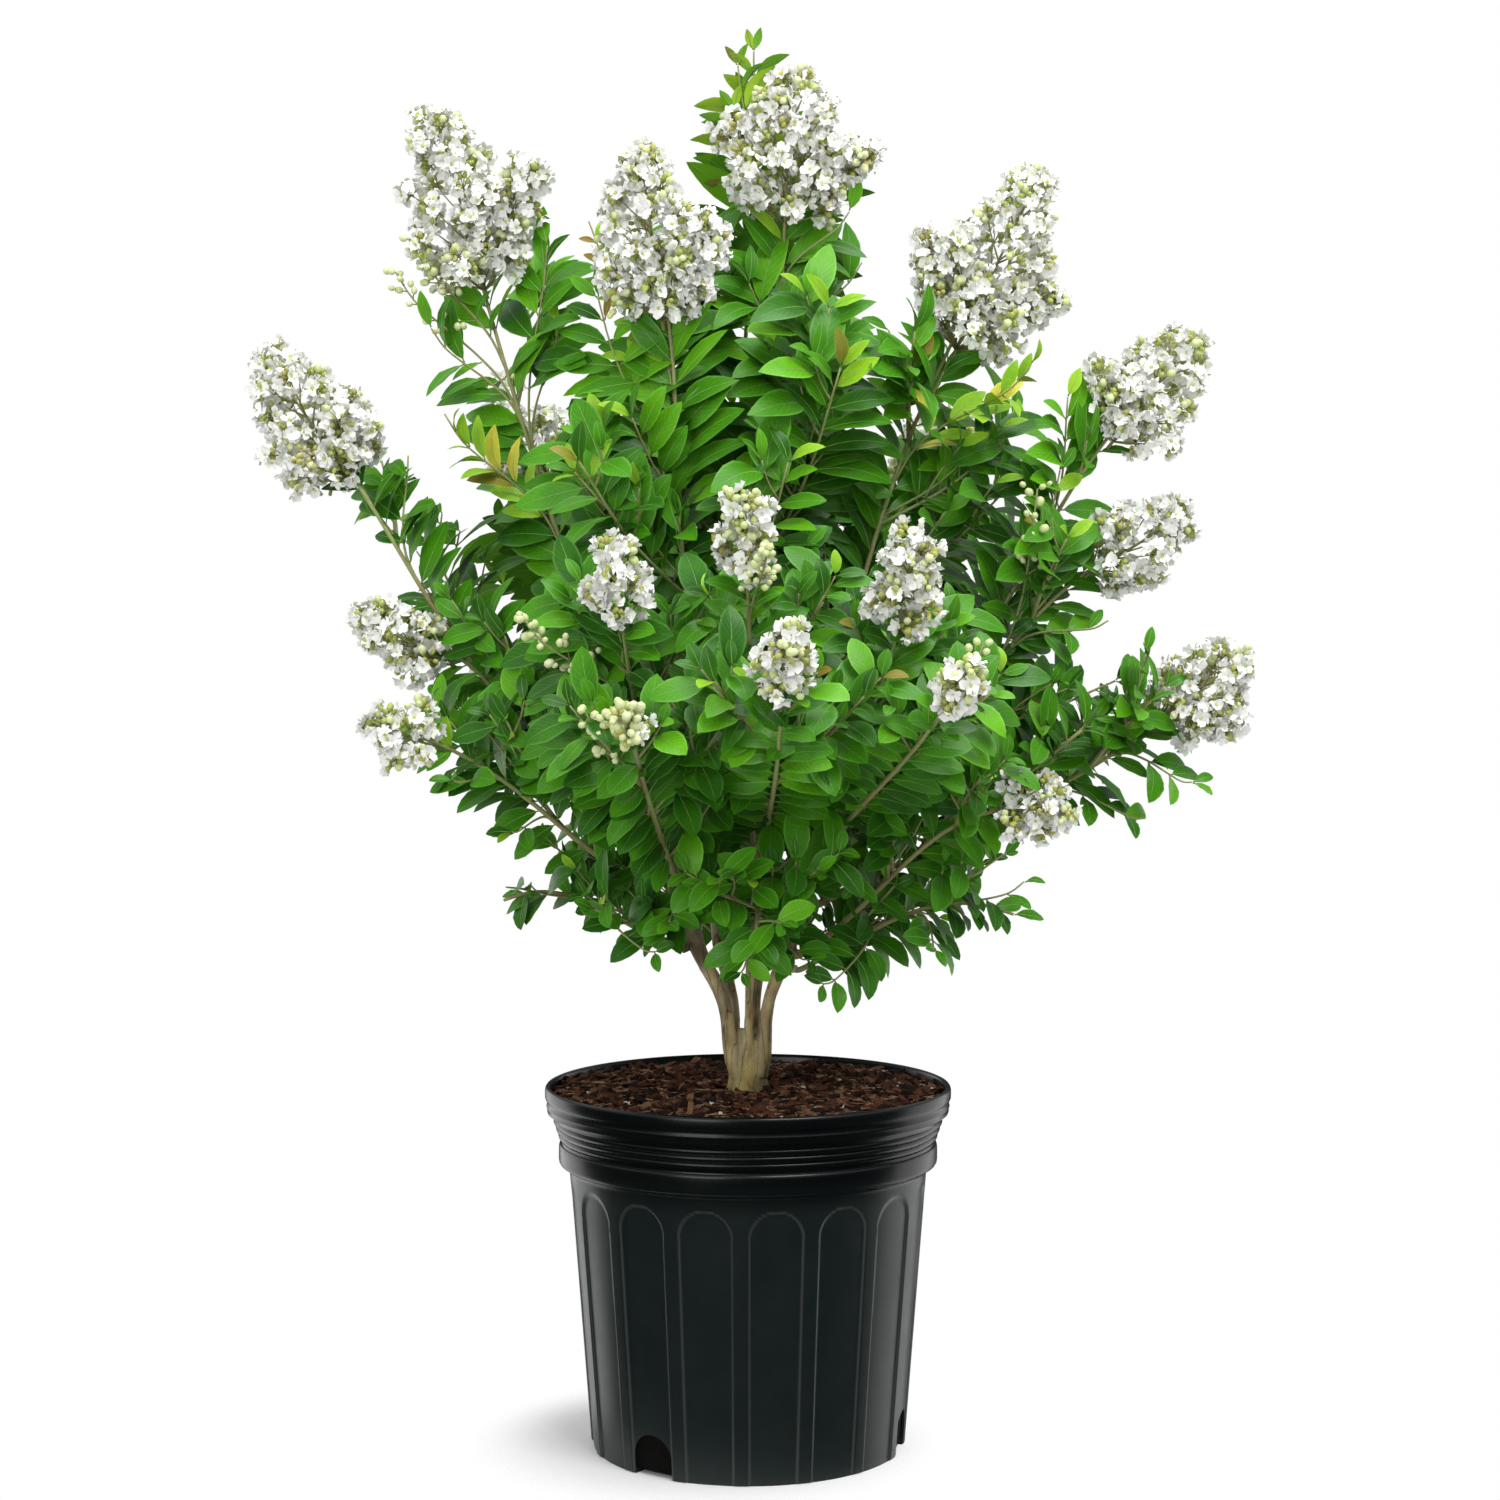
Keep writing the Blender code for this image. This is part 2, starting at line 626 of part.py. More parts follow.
def make_bloom(name, base, direction, size, rng, collection):
    """A lumpy six-sided panicle, widest below its middle."""
    length, width = size
    shape = bmesh.new()
    bmesh.ops.create_uvsphere(shape, u_segments=BLOOM_SIDES, v_segments=BLOOM_RINGS + 1, radius=1)
    turn = UP.rotation_difference(direction).to_matrix()
    for vert in shape.verts:
        share = (vert.co.z + 1) / 2
        side = round(math.atan2(vert.co.y, vert.co.x) * BLOOM_SIDES / math.tau)
        ring = round(math.acos(max(-1.0, min(1.0, vert.co.z))) * (BLOOM_RINGS + 1) / math.pi)
        lump = BLOOM_LUMPS[(side + ring) % 2] * rng.uniform(0.94, 1.06)
        reach = width / 2 * (1.5 - 1.1 * share) * lump
        vert.co = base + turn @ Vector((vert.co.x * reach, vert.co.y * reach, share * length))
    for face in shape.faces:
        face.material_index = BLOSSOM_SLOT
    return shape_to_object(name, shape, collection)


def faces_to_use(frame, number):
    """Two faces of a twig for a pair: the upper ones, or each in turn where it stands upright."""
    turn = number % 3 if frame.col[2].z > UPRIGHT else 0
    return turn, (turn + 1) % 3


def side_shoots(leader):
    """Shoots off alternate sides of a leader, each a path of three points."""
    whole = path_lengths(leader)[-1]
    angle = math.radians(SIDE_ANGLE)
    for number in range(SIDE_SHOOTS):
        station = whole * (SIDE_FIRST + SIDE_SPREAD * number)
        foot, frame = point_along(leader, station)
        onward = frame.col[2]
        side = face_direction(frame, faces_to_use(frame, number)[number % 2])
        heading = onward * math.cos(angle) + side * math.sin(angle)
        length = SIDE_MORE + SIDE_SHARE * (whole - station)
        middle = foot + heading * length / 2
        tip = middle + (heading + onward * SIDE_CURL).normalized() * length / 2
        yield [foot, middle, tip]


class Crown:
    """What a shoot or a leaf keeps clear of: limbs, blooms and the shoots of other masses."""

    def __init__(self, limbs, leaders):
        self.limbs = limbs
        self.shoots = {name: [leader] for name, leader in leaders.items()}
        self.blooms = {}
        for name, leader in leaders.items():
            if MASSES[name].bloom:
                direction = (leader[-1] - leader[-2]).normalized()
                base = Vector(MASSES[name].tip) - direction * MASSES[name].bloom[0]
                self.blooms[name] = (base, direction)
        for name, leader in leaders.items():
            self.shoots[name] += [s for s in side_shoots(leader) if self.room_for_shoot(name, s)]

    def distance_to_others(self, name, samples):
        others = [path for mass, paths in self.shoots.items() if mass != name for path in paths]
        return np.min([distances(samples, path) for path in others], axis=0)

    def clear_of_limbs(self, samples, margin):
        return all(distances(samples, limb.path).min() > limb.radii[0] + margin for limb in self.limbs)

    def clear_of_blooms(self, name, samples):
        for other, (base, direction) in self.blooms.items():
            length, width = MASSES[other].bloom
            spine = [base + direction * width * 0.4, base + direction * (length - width * 0.3)]
            if distances(samples, spine).min() < width * BLOOM_CLEAR[other == name]:
                return False
        return True

    def room_for_shoot(self, name, shoot):
        foot, middle, tip = shoot
        samples = np.array([foot.lerp(middle, 0.5), middle, middle.lerp(tip, 0.5), tip])
        return (
            self.distance_to_others(name, samples).min() > SIDE_CLEAR
            and self.clear_of_limbs(samples, LIMB_CLEAR)
            and self.clear_of_blooms(name, samples)
        )

    def room_for_leaf(self, name, samples):
        """Whether a leaf stays in its mass's own space, nearer to its shoots than to any other."""
        own = np.min([distances(samples, path) for path in self.shoots[name]], axis=0)
        return (
            samples[:, 2].min() > LOWEST_LEAF
            and own[ROOT_SAMPLES:].min() > TWIG_CLEAR
            and (own + LEAF_CLEAR < self.distance_to_others(name, samples)).all()
            and self.clear_of_limbs(samples, LEAF_CLEAR)
            and self.clear_of_blooms(name, samples)
        )


def apart(samples, placed):
    """Whether a leaf is clear of the leaves that its mass already has."""
    if not placed:
        return True
    return np.linalg.norm(samples[:, None] - np.concatenate(placed), axis=2).min() > LEAF_APART


def add_leaves(name, shoot, radii, end, crown, placed, rng, collection):
    """Pairs of leaves along a shoot up to its end, each as large as its place allows."""
    whole = path_lengths(shoot)[-1]
    pairs = max(1, round(end / LEAF_SPACING))
    for pair in range(pairs):
        station = end * (pair + 0.96) / pairs
        spread = LEAF_ANGLE * (LAST_SPREAD if pair == pairs - 1 else 1.0)
        for hand in (0, 1):
            place = station - PAIR_STEP * hand
            node, frame = point_along(shoot, place)
            side = face_direction(frame, faces_to_use(frame, pair)[hand])
            radius = radii[0] + (radii[1] - radii[0]) * place / whole
            largest = np.interp(node.z, LEAF_HEIGHTS, LEAF_SIZES)
            for attempt in range(LEAF_ATTEMPTS):
                angle = math.radians(spread + rng.uniform(-LEAF_SWAY, LEAF_SWAY))
                heading = frame.col[2] * math.cos(angle) + side * math.sin(angle)
                axes = leaf_frame(node, heading, rng)
                size = largest * (1 - LEAF_SHRINK * attempt)
                root = node - axes.col[0] * ROOT_DEPTH * radius
                samples = leaf_samples(size, root, axes)
                if apart(samples, placed) and crown.room_for_leaf(name, samples):
                    make_leaf(f"{name}_leaf_{len(placed)}", size, root, axes, collection)
                    placed.append(samples)
                    break


def add_mass(name, crown, parts, leaf_green, blossom_white):
    """One mass: its leader, the side shoots and leaves that keep to its space, and its bloom."""
    mass = MASSES[name]
    rng = random.Random(f"{SEED} {name}")
    extras = new_collection(name + "_extras")
    leader, *sides = crown.shoots[name]
    solid = twig(name, leader, LEADER_RADII, parts, leaf_green)
    solid.data.materials.append(blossom_white)
    end = path_lengths(leader)[-1]
    if mass.bloom:
        make_bloom(name + "_bloom", *crown.blooms[name], mass.bloom, rng, extras)
        end -= mass.bloom[0] * BLOOM_SINK
    placed = []
    add_leaves(name, leader, LEADER_RADII, end, crown, placed, rng, extras)
    for number, side in enumerate(sides):
        twig(f"{name}_shoot_{number}", side, SHOOT_RADII, extras)
        end = path_lengths(side)[-1]
        add_leaves(name, side, SHOOT_RADII, end, crown, placed, rng, extras)
    fuse(solid, extras)
    bpy.data.collections.remove(extras)
    return len(placed)


def add_stems(parts, bark):
    """Each stem between the trunk and its own mass, the trunk's stubs, and the masses' leaders."""
    stems, stubs, leaders = {}, {}, {}
    for name, path in stem_paths().items():
        stem = STEMS[name]
        stubs[name], above = split_at_height(path, STUB_HEIGHT)
        limb, leaders[stem.leads_to] = split_path(above, STEM_SHARE)
        stems[name] = Limb(limb, (stem.radius, STEM_TIP_RADIUS))
        tube(name, *stems[name], STEM_SIDES, parts, bark)
    return stems, stubs, leaders


def add_boughs(stems, leaders, parts, bark):
    """A bough to each mass that has one; the skirt's leaders spring from the stems themselves."""
    boughs = []
    for name, mass in MASSES.items():
        if mass.height is None:
            continue
        path = bough_path(mass, stems[mass.stem])
        if name.startswith("skirt"):
            leaders[name] = path
            continue
        limb, leaders[name] = split_path(path, BOUGH_SHARE)
        boughs.append(Limb(limb, BOUGH_RADII))
        tube("bough_" + name, limb, BOUGH_RADII, BOUGH_SIDES, parts, bark)
    return boughs


def main():
    for obj in list(bpy.data.objects):
        bpy.data.objects.remove(obj)
    parts = new_collection("potted_crape_myrtle")
    cutters = new_collection("cutters", hidden=True)
    add_pot(parts, cutters)
    add_soil(parts)
    bark = make_material("bark", (0.36, 0.27, 0.18), 0.8)
    stems, stubs, leaders = add_stems(parts, bark)
    add_trunk(parts, bark, stubs)
    boughs = add_boughs(stems, leaders, parts, bark)
    crown = Crown([*stems.values(), *boughs], leaders)
    leaf_green = make_material("leaf_green", (0.11, 0.23, 0.05), 0.45)
    blossom_white = make_material("blossom_white", (0.86, 0.87, 0.84), 0.7)
    total = sum(add_mass(name, crown, parts, leaf_green, blossom_white) for name in leaders)
    print(f"{len(leaders)} masses, {total} leaves")


main()
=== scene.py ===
import math
import random

import bmesh
import bpy
import numpy as np
from mathutils import Matrix, Vector, noise
from mathutils.geometry import interpolate_bezier


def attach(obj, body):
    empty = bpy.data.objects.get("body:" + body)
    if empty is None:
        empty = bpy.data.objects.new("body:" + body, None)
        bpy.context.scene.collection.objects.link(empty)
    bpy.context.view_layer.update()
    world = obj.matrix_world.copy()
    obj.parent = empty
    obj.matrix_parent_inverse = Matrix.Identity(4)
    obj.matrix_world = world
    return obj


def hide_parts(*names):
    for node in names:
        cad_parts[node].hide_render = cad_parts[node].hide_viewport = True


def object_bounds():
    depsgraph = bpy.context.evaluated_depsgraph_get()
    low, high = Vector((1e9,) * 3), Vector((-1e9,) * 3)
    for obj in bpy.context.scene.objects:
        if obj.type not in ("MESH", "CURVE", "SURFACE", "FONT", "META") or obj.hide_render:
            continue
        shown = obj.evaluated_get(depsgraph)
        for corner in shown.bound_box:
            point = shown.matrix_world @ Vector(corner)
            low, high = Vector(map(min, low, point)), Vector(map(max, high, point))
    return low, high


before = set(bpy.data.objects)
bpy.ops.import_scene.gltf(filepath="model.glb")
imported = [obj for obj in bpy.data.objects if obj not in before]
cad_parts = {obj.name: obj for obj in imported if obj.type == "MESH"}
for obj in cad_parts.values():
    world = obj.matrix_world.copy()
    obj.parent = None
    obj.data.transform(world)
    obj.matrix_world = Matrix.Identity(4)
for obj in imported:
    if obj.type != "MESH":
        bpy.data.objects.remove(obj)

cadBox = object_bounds()
upward = Vector((0, 0, 1))
allNodes = sorted(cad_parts)
print("frame loaded,", len(allNodes), "nodes")


# small helpers for objects, meshes and edit mode

def deselectAll():
    if bpy.context.mode != "OBJECT":
        bpy.ops.object.mode_set(mode="OBJECT")
    bpy.ops.object.select_all(action="DESELECT")


def makeActive(piece):
    deselectAll()
    piece.select_set(True)
    bpy.context.view_layer.objects.active = piece


def newPiece(name):
    piece = bpy.context.active_object
    piece.name = name
    piece.data.name = name
    return piece


def applyModifier(piece, modifier):
    makeActive(piece)
    bpy.ops.object.modifier_apply(modifier=modifier.name)


def smoothByAngle(piece, degrees=40):
    makeActive(piece)
    bpy.ops.object.shade_smooth_by_angle(angle=math.radians(degrees))


def pointsOf(mesh):
    points = np.empty(len(mesh.vertices) * 3)
    mesh.vertices.foreach_get("co", points)
    return points.reshape(-1, 3)


def setPoints(mesh, points):
    mesh.vertices.foreach_set("co", np.asarray(points, np.float32).ravel())
    mesh.update()


def joinedMesh(name, parts, material, smooth=True):
    # one mesh from many (points, faces) pairs
    allPoints, allFaces, start = [], [], 0
    for points, faces in parts:
        allPoints.append(np.asarray(points))
        allFaces += [[corner + start for corner in face] for face in faces]
        start += len(points)
    mesh = bpy.data.meshes.new(name)
    mesh.from_pydata(np.concatenate(allPoints), [], allFaces)
    if smooth:
        mesh.shade_smooth()
    mesh.materials.append(material)
    piece = bpy.data.objects.new(name, mesh)
    bpy.context.scene.collection.objects.link(piece)
    return piece


def finishPiece(piece, replaced=()):
    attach(piece, "root")
    if replaced:
        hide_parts(*replaced)
    count = sum(len(face.vertices) - 2 for face in piece.data.polygons)
    print(" ", piece.name, count, "triangles")


# node groups and materials

def groupSockets(group, inputs, outputs):
    for kind, name, value in inputs:
        socket = group.interface.new_socket(name=name, in_out="INPUT", socket_type=kind)
        socket.default_value = value
    for kind, name in outputs:
        group.interface.new_socket(name=name, in_out="OUTPUT", socket_type=kind)
    entry = group.nodes.new("NodeGroupInput")
    leave = group.nodes.new("NodeGroupOutput")
    return entry, leave


def noiseNode(nodes, links, vector, scale, detail=4.0, roughness=0.55):
    node = nodes.new("ShaderNodeTexNoise")
    node.inputs["Scale"].default_value = scale
    node.inputs["Detail"].default_value = detail
    node.inputs["Roughness"].default_value = roughness
    links.new(vector, node.inputs["Vector"])
    return node


def rampNode(nodes, links, factor, stops):
    node = nodes.new("ShaderNodeValToRGB")
    ramp = node.color_ramp
    while len(ramp.elements) < len(stops):
        ramp.elements.new(0.5)
    for element, (place, colour) in zip(ramp.elements, stops):
        element.position = place
        element.color = (*colour, 1) if len(colour) == 3 else colour
    links.new(factor, node.inputs["Fac"])
    return node


def mixNode(nodes, links, kind, factor, first, second):
    node = nodes.new("ShaderNodeMix")
    node.data_type = "RGBA"
    node.blend_type = kind
    for socket, value in ((node.inputs[0], factor), (node.inputs[6], first), (node.inputs[7], second)):
        if isinstance(value, bpy.types.NodeSocket):
            links.new(value, socket)
        else:
            socket.default_value = value if isinstance(value, float) else (*value, 1)
    return node.outputs[2]


def makeTintGroup():
    # breaks an even colour up, from patch to patch and from grain to grain
    group = bpy.data.node_groups.new("tintDrift", "ShaderNodeTree")
    entry, leave = groupSockets(
        group,
        [
            ("NodeSocketColor", "Colour", (1, 1, 1, 1)),
            ("NodeSocketColor", "Drift", (1, 1, 1, 1)),
            ("NodeSocketFloat", "Patch Scale", 20.0),
            ("NodeSocketFloat", "Grain Scale", 300.0),
            ("NodeSocketFloat", "Grain Depth", 0.2),
        ],
        [("NodeSocketColor", "Colour"), ("NodeSocketFloat", "Grain")],
    )
    nodes, links = group.nodes, group.links
    coords = nodes.new("ShaderNodeTexCoord").outputs["Object"]
    patch = noiseNode(nodes, links, coords, 20.0, 3.0)
    links.new(entry.outputs["Patch Scale"], patch.inputs["Scale"])
    grain = noiseNode(nodes, links, coords, 300.0, 5.0)
    links.new(entry.outputs["Grain Scale"], grain.inputs["Scale"])
    spread = nodes.new("ShaderNodeMapRange")
    spread.inputs["From Min"].default_value = 0.35
    spread.inputs["From Max"].default_value = 0.65
    links.new(patch.outputs["Fac"], spread.inputs["Value"])
    blended = mixNode(
        nodes, links, "MIX", spread.outputs["Result"], entry.outputs["Colour"], entry.outputs["Drift"]
    )
    shade = rampNode(nodes, links, grain.outputs["Fac"], [(0.3, (0.35,) * 3), (0.7, (1.25,) * 3)])
    speckled = mixNode(
        nodes, links, "MULTIPLY", entry.outputs["Grain Depth"], blended, shade.outputs["Color"]
    )
    links.new(speckled, leave.inputs["Colour"])
    links.new(grain.outputs["Fac"], leave.inputs["Grain"])
    return group


tintGroup = makeTintGroup()


def newMaterial(name, look):
    # a Principled surface whose colour drifts, with its grain as a fine bump
    material = bpy.data.materials.new(name)
    material.use_nodes = True
    nodes, links = material.node_tree.nodes, material.node_tree.links
    shader = nodes["Principled BSDF"]
    shader.inputs["Roughness"].default_value = look["roughness"]
    shader.inputs["Specular IOR Level"].default_value = look.get("specular", 0.5)
    tint = nodes.new("ShaderNodeGroup")
    tint.node_tree = tintGroup
    tint.inputs["Colour"].default_value = (*look["colour"], 1)
    tint.inputs["Drift"].default_value = (*look.get("drift", look["colour"]), 1)
    tint.inputs["Patch Scale"].default_value = look.get("patch", 20.0)
    tint.inputs["Grain Scale"].default_value = look.get("grain", 300.0)
    tint.inputs["Grain Depth"].default_value = look.get("speckle", 0.2)
    links.new(tint.outputs["Colour"], shader.inputs["Base Color"])
    bump = nodes.new("ShaderNodeBump")
    bump.inputs["Distance"].default_value = look.get("relief", 0.0003)
    bump.inputs["Strength"].default_value = look.get("bump", 0.5)
    links.new(tint.outputs["Grain"], bump.inputs["Height"])
    links.new(bump.outputs["Normal"], shader.inputs["Normal"])
    material.diffuse_color = (*look["colour"], 1)
    return material


def colourSource(material):
    return material.node_tree.nodes["Principled BSDF"].inputs["Base Color"].links[0].from_socket


# pot: a profile drawn out point by point, spun round, its arches pressed in and its drains cut

potPlan = {
    "steps": 720,
    "outside": [
        (0.1078, 0.0), (0.1092, 0.0006), (0.1097, 0.0020),
    ],
    "wallFoot": (0.1095, 0.0),
    "wallHead": (0.1243, 0.1942),
    "coarseRow": 0.0125,
    "fineRow": 0.0017,
    "fineFrom": 0.148,
    "fineTo": 0.1925,
    "shoulder": [
        (0.1243, 0.1942), (0.1249, 0.1950), (0.1266, 0.1961), (0.1292, 0.1974), (0.1308, 0.1984),
        (0.1315, 0.1996), (0.1317, 0.2014), (0.1317, 0.2060), (0.1316, 0.2096), (0.1314, 0.2108),
        (0.1308, 0.2117), (0.1296, 0.2120), (0.1292, 0.2128), (0.1294, 0.2138),
    ],
    "ribs": {"from": (0.1296, 0.2144), "to": (0.1346, 0.2292), "count": 3, "depth": 0.0014, "points": 10},
    "lip": [
        (0.1352, 0.2306), (0.1360, 0.2326), (0.1366, 0.2334), (0.1389, 0.2335), (0.1395, 0.2339),
        (0.1397, 0.2347), (0.1397, 0.2368), (0.1400, 0.2373), (0.1402, 0.2381), (0.1400, 0.2389),
        (0.1397, 0.2394), (0.1396, 0.2418), (0.1398, 0.2424), (0.1406, 0.2428), (0.1411, 0.2438),
        (0.1412, 0.2460), (0.1412, 0.2488), (0.1409, 0.2502), (0.1402, 0.2513), (0.1391, 0.2518),
        (0.1381, 0.2516), (0.1374, 0.2508), (0.1370, 0.2494), (0.1366, 0.2470),
    ],
    "inside": [(0.1330, 0.2350), (0.1289, 0.2245), (0.1277, 0.2010), (0.1206, 0.1890), (0.1067, 0.0036)],
    "flutes": 16,
    "fluteAzimuth": 9.0,
    "fluteArc": 18.0,
    "fluteDepth": 0.0016,
    "fluteCrown": 0.187,
    "fluteEdge": 0.0021,
    "drainFlutes": (-2, 3, 8),
    "drainWidth": 0.031,
    "drainCrown": 0.029,
    "drainReach": 0.012,
}


def profilePiece(name, profile):
    deselectAll()
    bpy.ops.mesh.primitive_circle_add(vertices=3, radius=0.001, location=(0, 0, 0))
    piece = newPiece(name)
    bpy.ops.object.mode_set(mode="EDIT")
    bpy.ops.mesh.merge(type="CENTER")
    bpy.ops.transform.translate(value=(profile[0][0], 0, profile[0][1]))
    for (oldRadius, oldHeight), (radius, height) in zip(profile, profile[1:]):
        move = (radius - oldRadius, 0, height - oldHeight)
        bpy.ops.mesh.extrude_region_move(TRANSFORM_OT_translate={"value": move})
    return piece


def spinPiece(piece, steps):
    bpy.ops.mesh.select_all(action="SELECT")
    bpy.ops.mesh.spin(steps=steps, angle=math.tau, center=(0, 0, 0), axis=(0, 0, 1))
    bpy.ops.mesh.select_all(action="SELECT")
    bpy.ops.mesh.remove_doubles(threshold=0.00001)
    bpy.ops.mesh.normals_make_consistent(inside=False)
    bpy.ops.object.mode_set(mode="OBJECT")
    return piece


def potProfile(plan):
    (footRadius, foot), (headRadius, head) = plan["wallFoot"], plan["wallHead"]
    heights = list(np.arange(0.006, plan["fineFrom"], plan["coarseRow"]))
    heights += list(np.arange(plan["fineFrom"], plan["fineTo"], plan["fineRow"]))
    wall = [(footRadius + (headRadius - footRadius) * (z - foot) / (head - foot), z) for z in heights]
    ribs = plan["ribs"]
    total = ribs["count"] * ribs["points"]
    ribbed = []
    for step in range(total + 1):
        share = step / total
        swell = ribs["depth"] * abs(math.sin(math.pi * ribs["count"] * share)) ** 0.8
        radius = ribs["from"][0] + (ribs["to"][0] - ribs["from"][0]) * share + swell
        ribbed.append((radius, ribs["from"][1] + (ribs["to"][1] - ribs["from"][1]) * share))
    middle, floor = (0.0, 0.0), (0.0, plan["inside"][-1][1])
    return [middle, *plan["outside"], *wall, *plan["shoulder"], *ribbed, *plan["lip"], *plan["inside"], floor]


def pressFlutes(piece, plan):
    points = pointsOf(piece.data)
    radius = np.hypot(points[:, 0], points[:, 1])
    height = points[:, 2]
    azimuth = np.degrees(np.arctan2(points[:, 0], -points[:, 1])) - plan["fluteAzimuth"]
    pitch = 360 / plan["flutes"]
    offset = (azimuth + pitch / 2) % pitch - pitch / 2
    across = np.abs(np.radians(offset)) * radius
    half = radius * math.radians(plan["fluteArc"] / 2)
    crownRadius = 0.1230 * math.radians(plan["fluteArc"] / 2)
    centre = plan["fluteCrown"] - crownRadius
    inside = np.where(
        height < centre, half - across, crownRadius - np.hypot(across, height - centre)
    )
    share = np.clip(inside / plan["fluteEdge"], 0, 1)
    depth = plan["fluteDepth"] * share * share * (3 - 2 * share)
    wall = plan["wallFoot"][0] + (plan["wallHead"][0] - plan["wallFoot"][0]) * height / plan["wallHead"][1]
    depth[(radius < wall - 0.0012) | (height > plan["wallHead"][1])] = 0
    points[:, :2] *= (1 - depth / np.maximum(radius, 0.01))[:, None]
    setPoints(piece.data, points)
    # strongest midway across each arch's edge: where the pale painted highlight goes
    paintedArchHighlight = np.where(depth > 0, 4 * share * (1 - share), 0.0)
    piece.data.attributes.new("paintedArchHighlight", "FLOAT", "POINT").data.foreach_set("value", paintedArchHighlight.astype(np.float32))


def drainCutter(plan, flute):
    # a round-topped arch standing in one flute
    azimuth = math.radians(plan["fluteAzimuth"] + 360 / plan["flutes"] * flute)
    outward = Vector((math.sin(azimuth), -math.cos(azimuth), 0))
    depth = 0.05
    centre = outward * (plan["wallFoot"][0] - plan["drainReach"] + depth / 2)
    radius = plan["drainWidth"] / 2
    deselectAll()
    bpy.ops.mesh.primitive_cylinder_add(vertices=64, radius=radius, depth=depth)
    cutter = newPiece("drainCutter")
    bpy.ops.object.mode_set(mode="EDIT")
    shape = bmesh.from_edit_mesh(cutter.data)
    for vert in shape.verts:
        vert.select = vert.co.y < 0.0001
    shape.select_flush_mode()
    bmesh.update_edit_mesh(cutter.data)
    bpy.ops.transform.resize(value=(1, 0, 1))
    bpy.ops.transform.translate(value=(0, -plan["drainCrown"], 0))
    bpy.ops.object.mode_set(mode="OBJECT")
    across = Vector((math.cos(azimuth), math.sin(azimuth), 0))
    place = Matrix((across, upward, outward)).transposed().to_4x4()
    place.translation = centre + upward * (plan["drainCrown"] - radius)
    cutter.data.transform(place)
    return cutter


def makePot(plan):
    piece = spinPiece(profilePiece("nursery_pot", potProfile(plan)), plan["steps"])
    pressFlutes(piece, plan)
    for flute in plan["drainFlutes"]:
        cutter = drainCutter(plan, flute)
        cut = piece.modifiers.new("drain", "BOOLEAN")
        cut.operation = "DIFFERENCE"
        cut.object = cutter
        applyModifier(piece, cut)
        bpy.data.objects.remove(cutter)
    smoothByAngle(piece, 38)
    piece.data.materials.clear()
    piece.data.materials.append(potPlastic())
    finishPiece(piece, ["pot"])


def potPlastic():
    # glossy black above, painted darker than the wall there as painted shade; a lighter uneven tone on the wall
    # below, and pale lines round the arches' edges painted as highlights
    look = {
        "colour": (0.0008, 0.0018, 0.0020), "drift": (0.0016, 0.0028, 0.0027), "roughness": 0.30,
        "patch": 9.0, "grain": 900.0, "speckle": 0.12, "relief": 0.00005, "bump": 0.3, "specular": 0.34,
    }
    material = newMaterial("potPlastic", look)
    nodes, links = material.node_tree.nodes, material.node_tree.links
    shader = nodes["Principled BSDF"]
    coords = nodes.new("ShaderNodeTexCoord").outputs["Object"]
    height = nodes.new("ShaderNodeSeparateXYZ")
    links.new(coords, height.inputs["Vector"])
    # this mask is 1 on the wall and 0 on the rim and collar, which keep the near-black base colour as painted shade;
    # it also makes the wall rougher
    belowShadedCollar = nodes.new("ShaderNodeMapRange")
    belowShadedCollar.inputs["From Min"].default_value = 0.206
    belowShadedCollar.inputs["From Max"].default_value = 0.182
    links.new(height.outputs["Z"], belowShadedCollar.inputs["Value"])
    rubbed = noiseNode(nodes, links, coords, 26.0, 6.0, 0.7)
    wallTone = rampNode(
        nodes, links, rubbed.outputs["Fac"], [(0.3, (0.0048, 0.0104, 0.0096)), (0.75, (0.0076, 0.0134, 0.0122))]
    )
    wall = mixNode(nodes, links, "MIX", belowShadedCollar.outputs["Result"], colourSource(material), wallTone.outputs["Color"])
    # pale grey at the arches' edges: a painted highlight, strongest midway across each edge
    paintedArchHighlight = nodes.new("ShaderNodeAttribute")
    paintedArchHighlight.attribute_name = "paintedArchHighlight"
    paintedHighlightAmount = nodes.new("ShaderNodeMath")
    paintedHighlightAmount.operation = "MULTIPLY"
    paintedHighlightAmount.inputs[1].default_value = 0.55
    links.new(paintedArchHighlight.outputs["Fac"], paintedHighlightAmount.inputs[0])
    links.new(
        mixNode(nodes, links, "MIX", paintedHighlightAmount.outputs[0], wall, (0.060, 0.066, 0.064)), shader.inputs["Base Color"]
    )
    gloss = rampNode(nodes, links, rubbed.outputs["Fac"], [(0.3, (0.22,) * 3), (0.75, (0.32,) * 3)])
    matt = rampNode(nodes, links, rubbed.outputs["Fac"], [(0.3, (0.30,) * 3), (0.75, (0.42,) * 3)])
    links.new(
        mixNode(nodes, links, "MIX", belowShadedCollar.outputs["Result"], gloss.outputs["Color"], matt.outputs["Color"]),
        shader.inputs["Roughness"],
    )
    return material


print("pot")
makePot(potPlan)


# growth: the limbs, leaders and side shoots of the crown, by one rule

limbPlan = {
    "gap": 0.0003,
    "points": 9,
    "handle": 0.38,
    "soilTop": 0.2460,
    "stemFoot": 0.012,
    "stubHeight": 0.306,
    "stemTip": 0.0028,
    "boughRadii": (0.0034, 0.0021),
    "leaderRadii": (0.0021, 0.0011),
    "shootRadii": (0.0014, 0.0008),
    "twigRadii": (0.0010, 0.0006),
    "collar": 0.006,
    "stemShare": 0.42,
    "boughShare": 0.26,
    "bloomSink": 0.25,
    "flare": [(0.0, 0.0185), (0.004, 0.0155), (0.012, 0.0130), (0.024, 0.0122)],
    "trunkLean": (-0.04, 0.03),
}

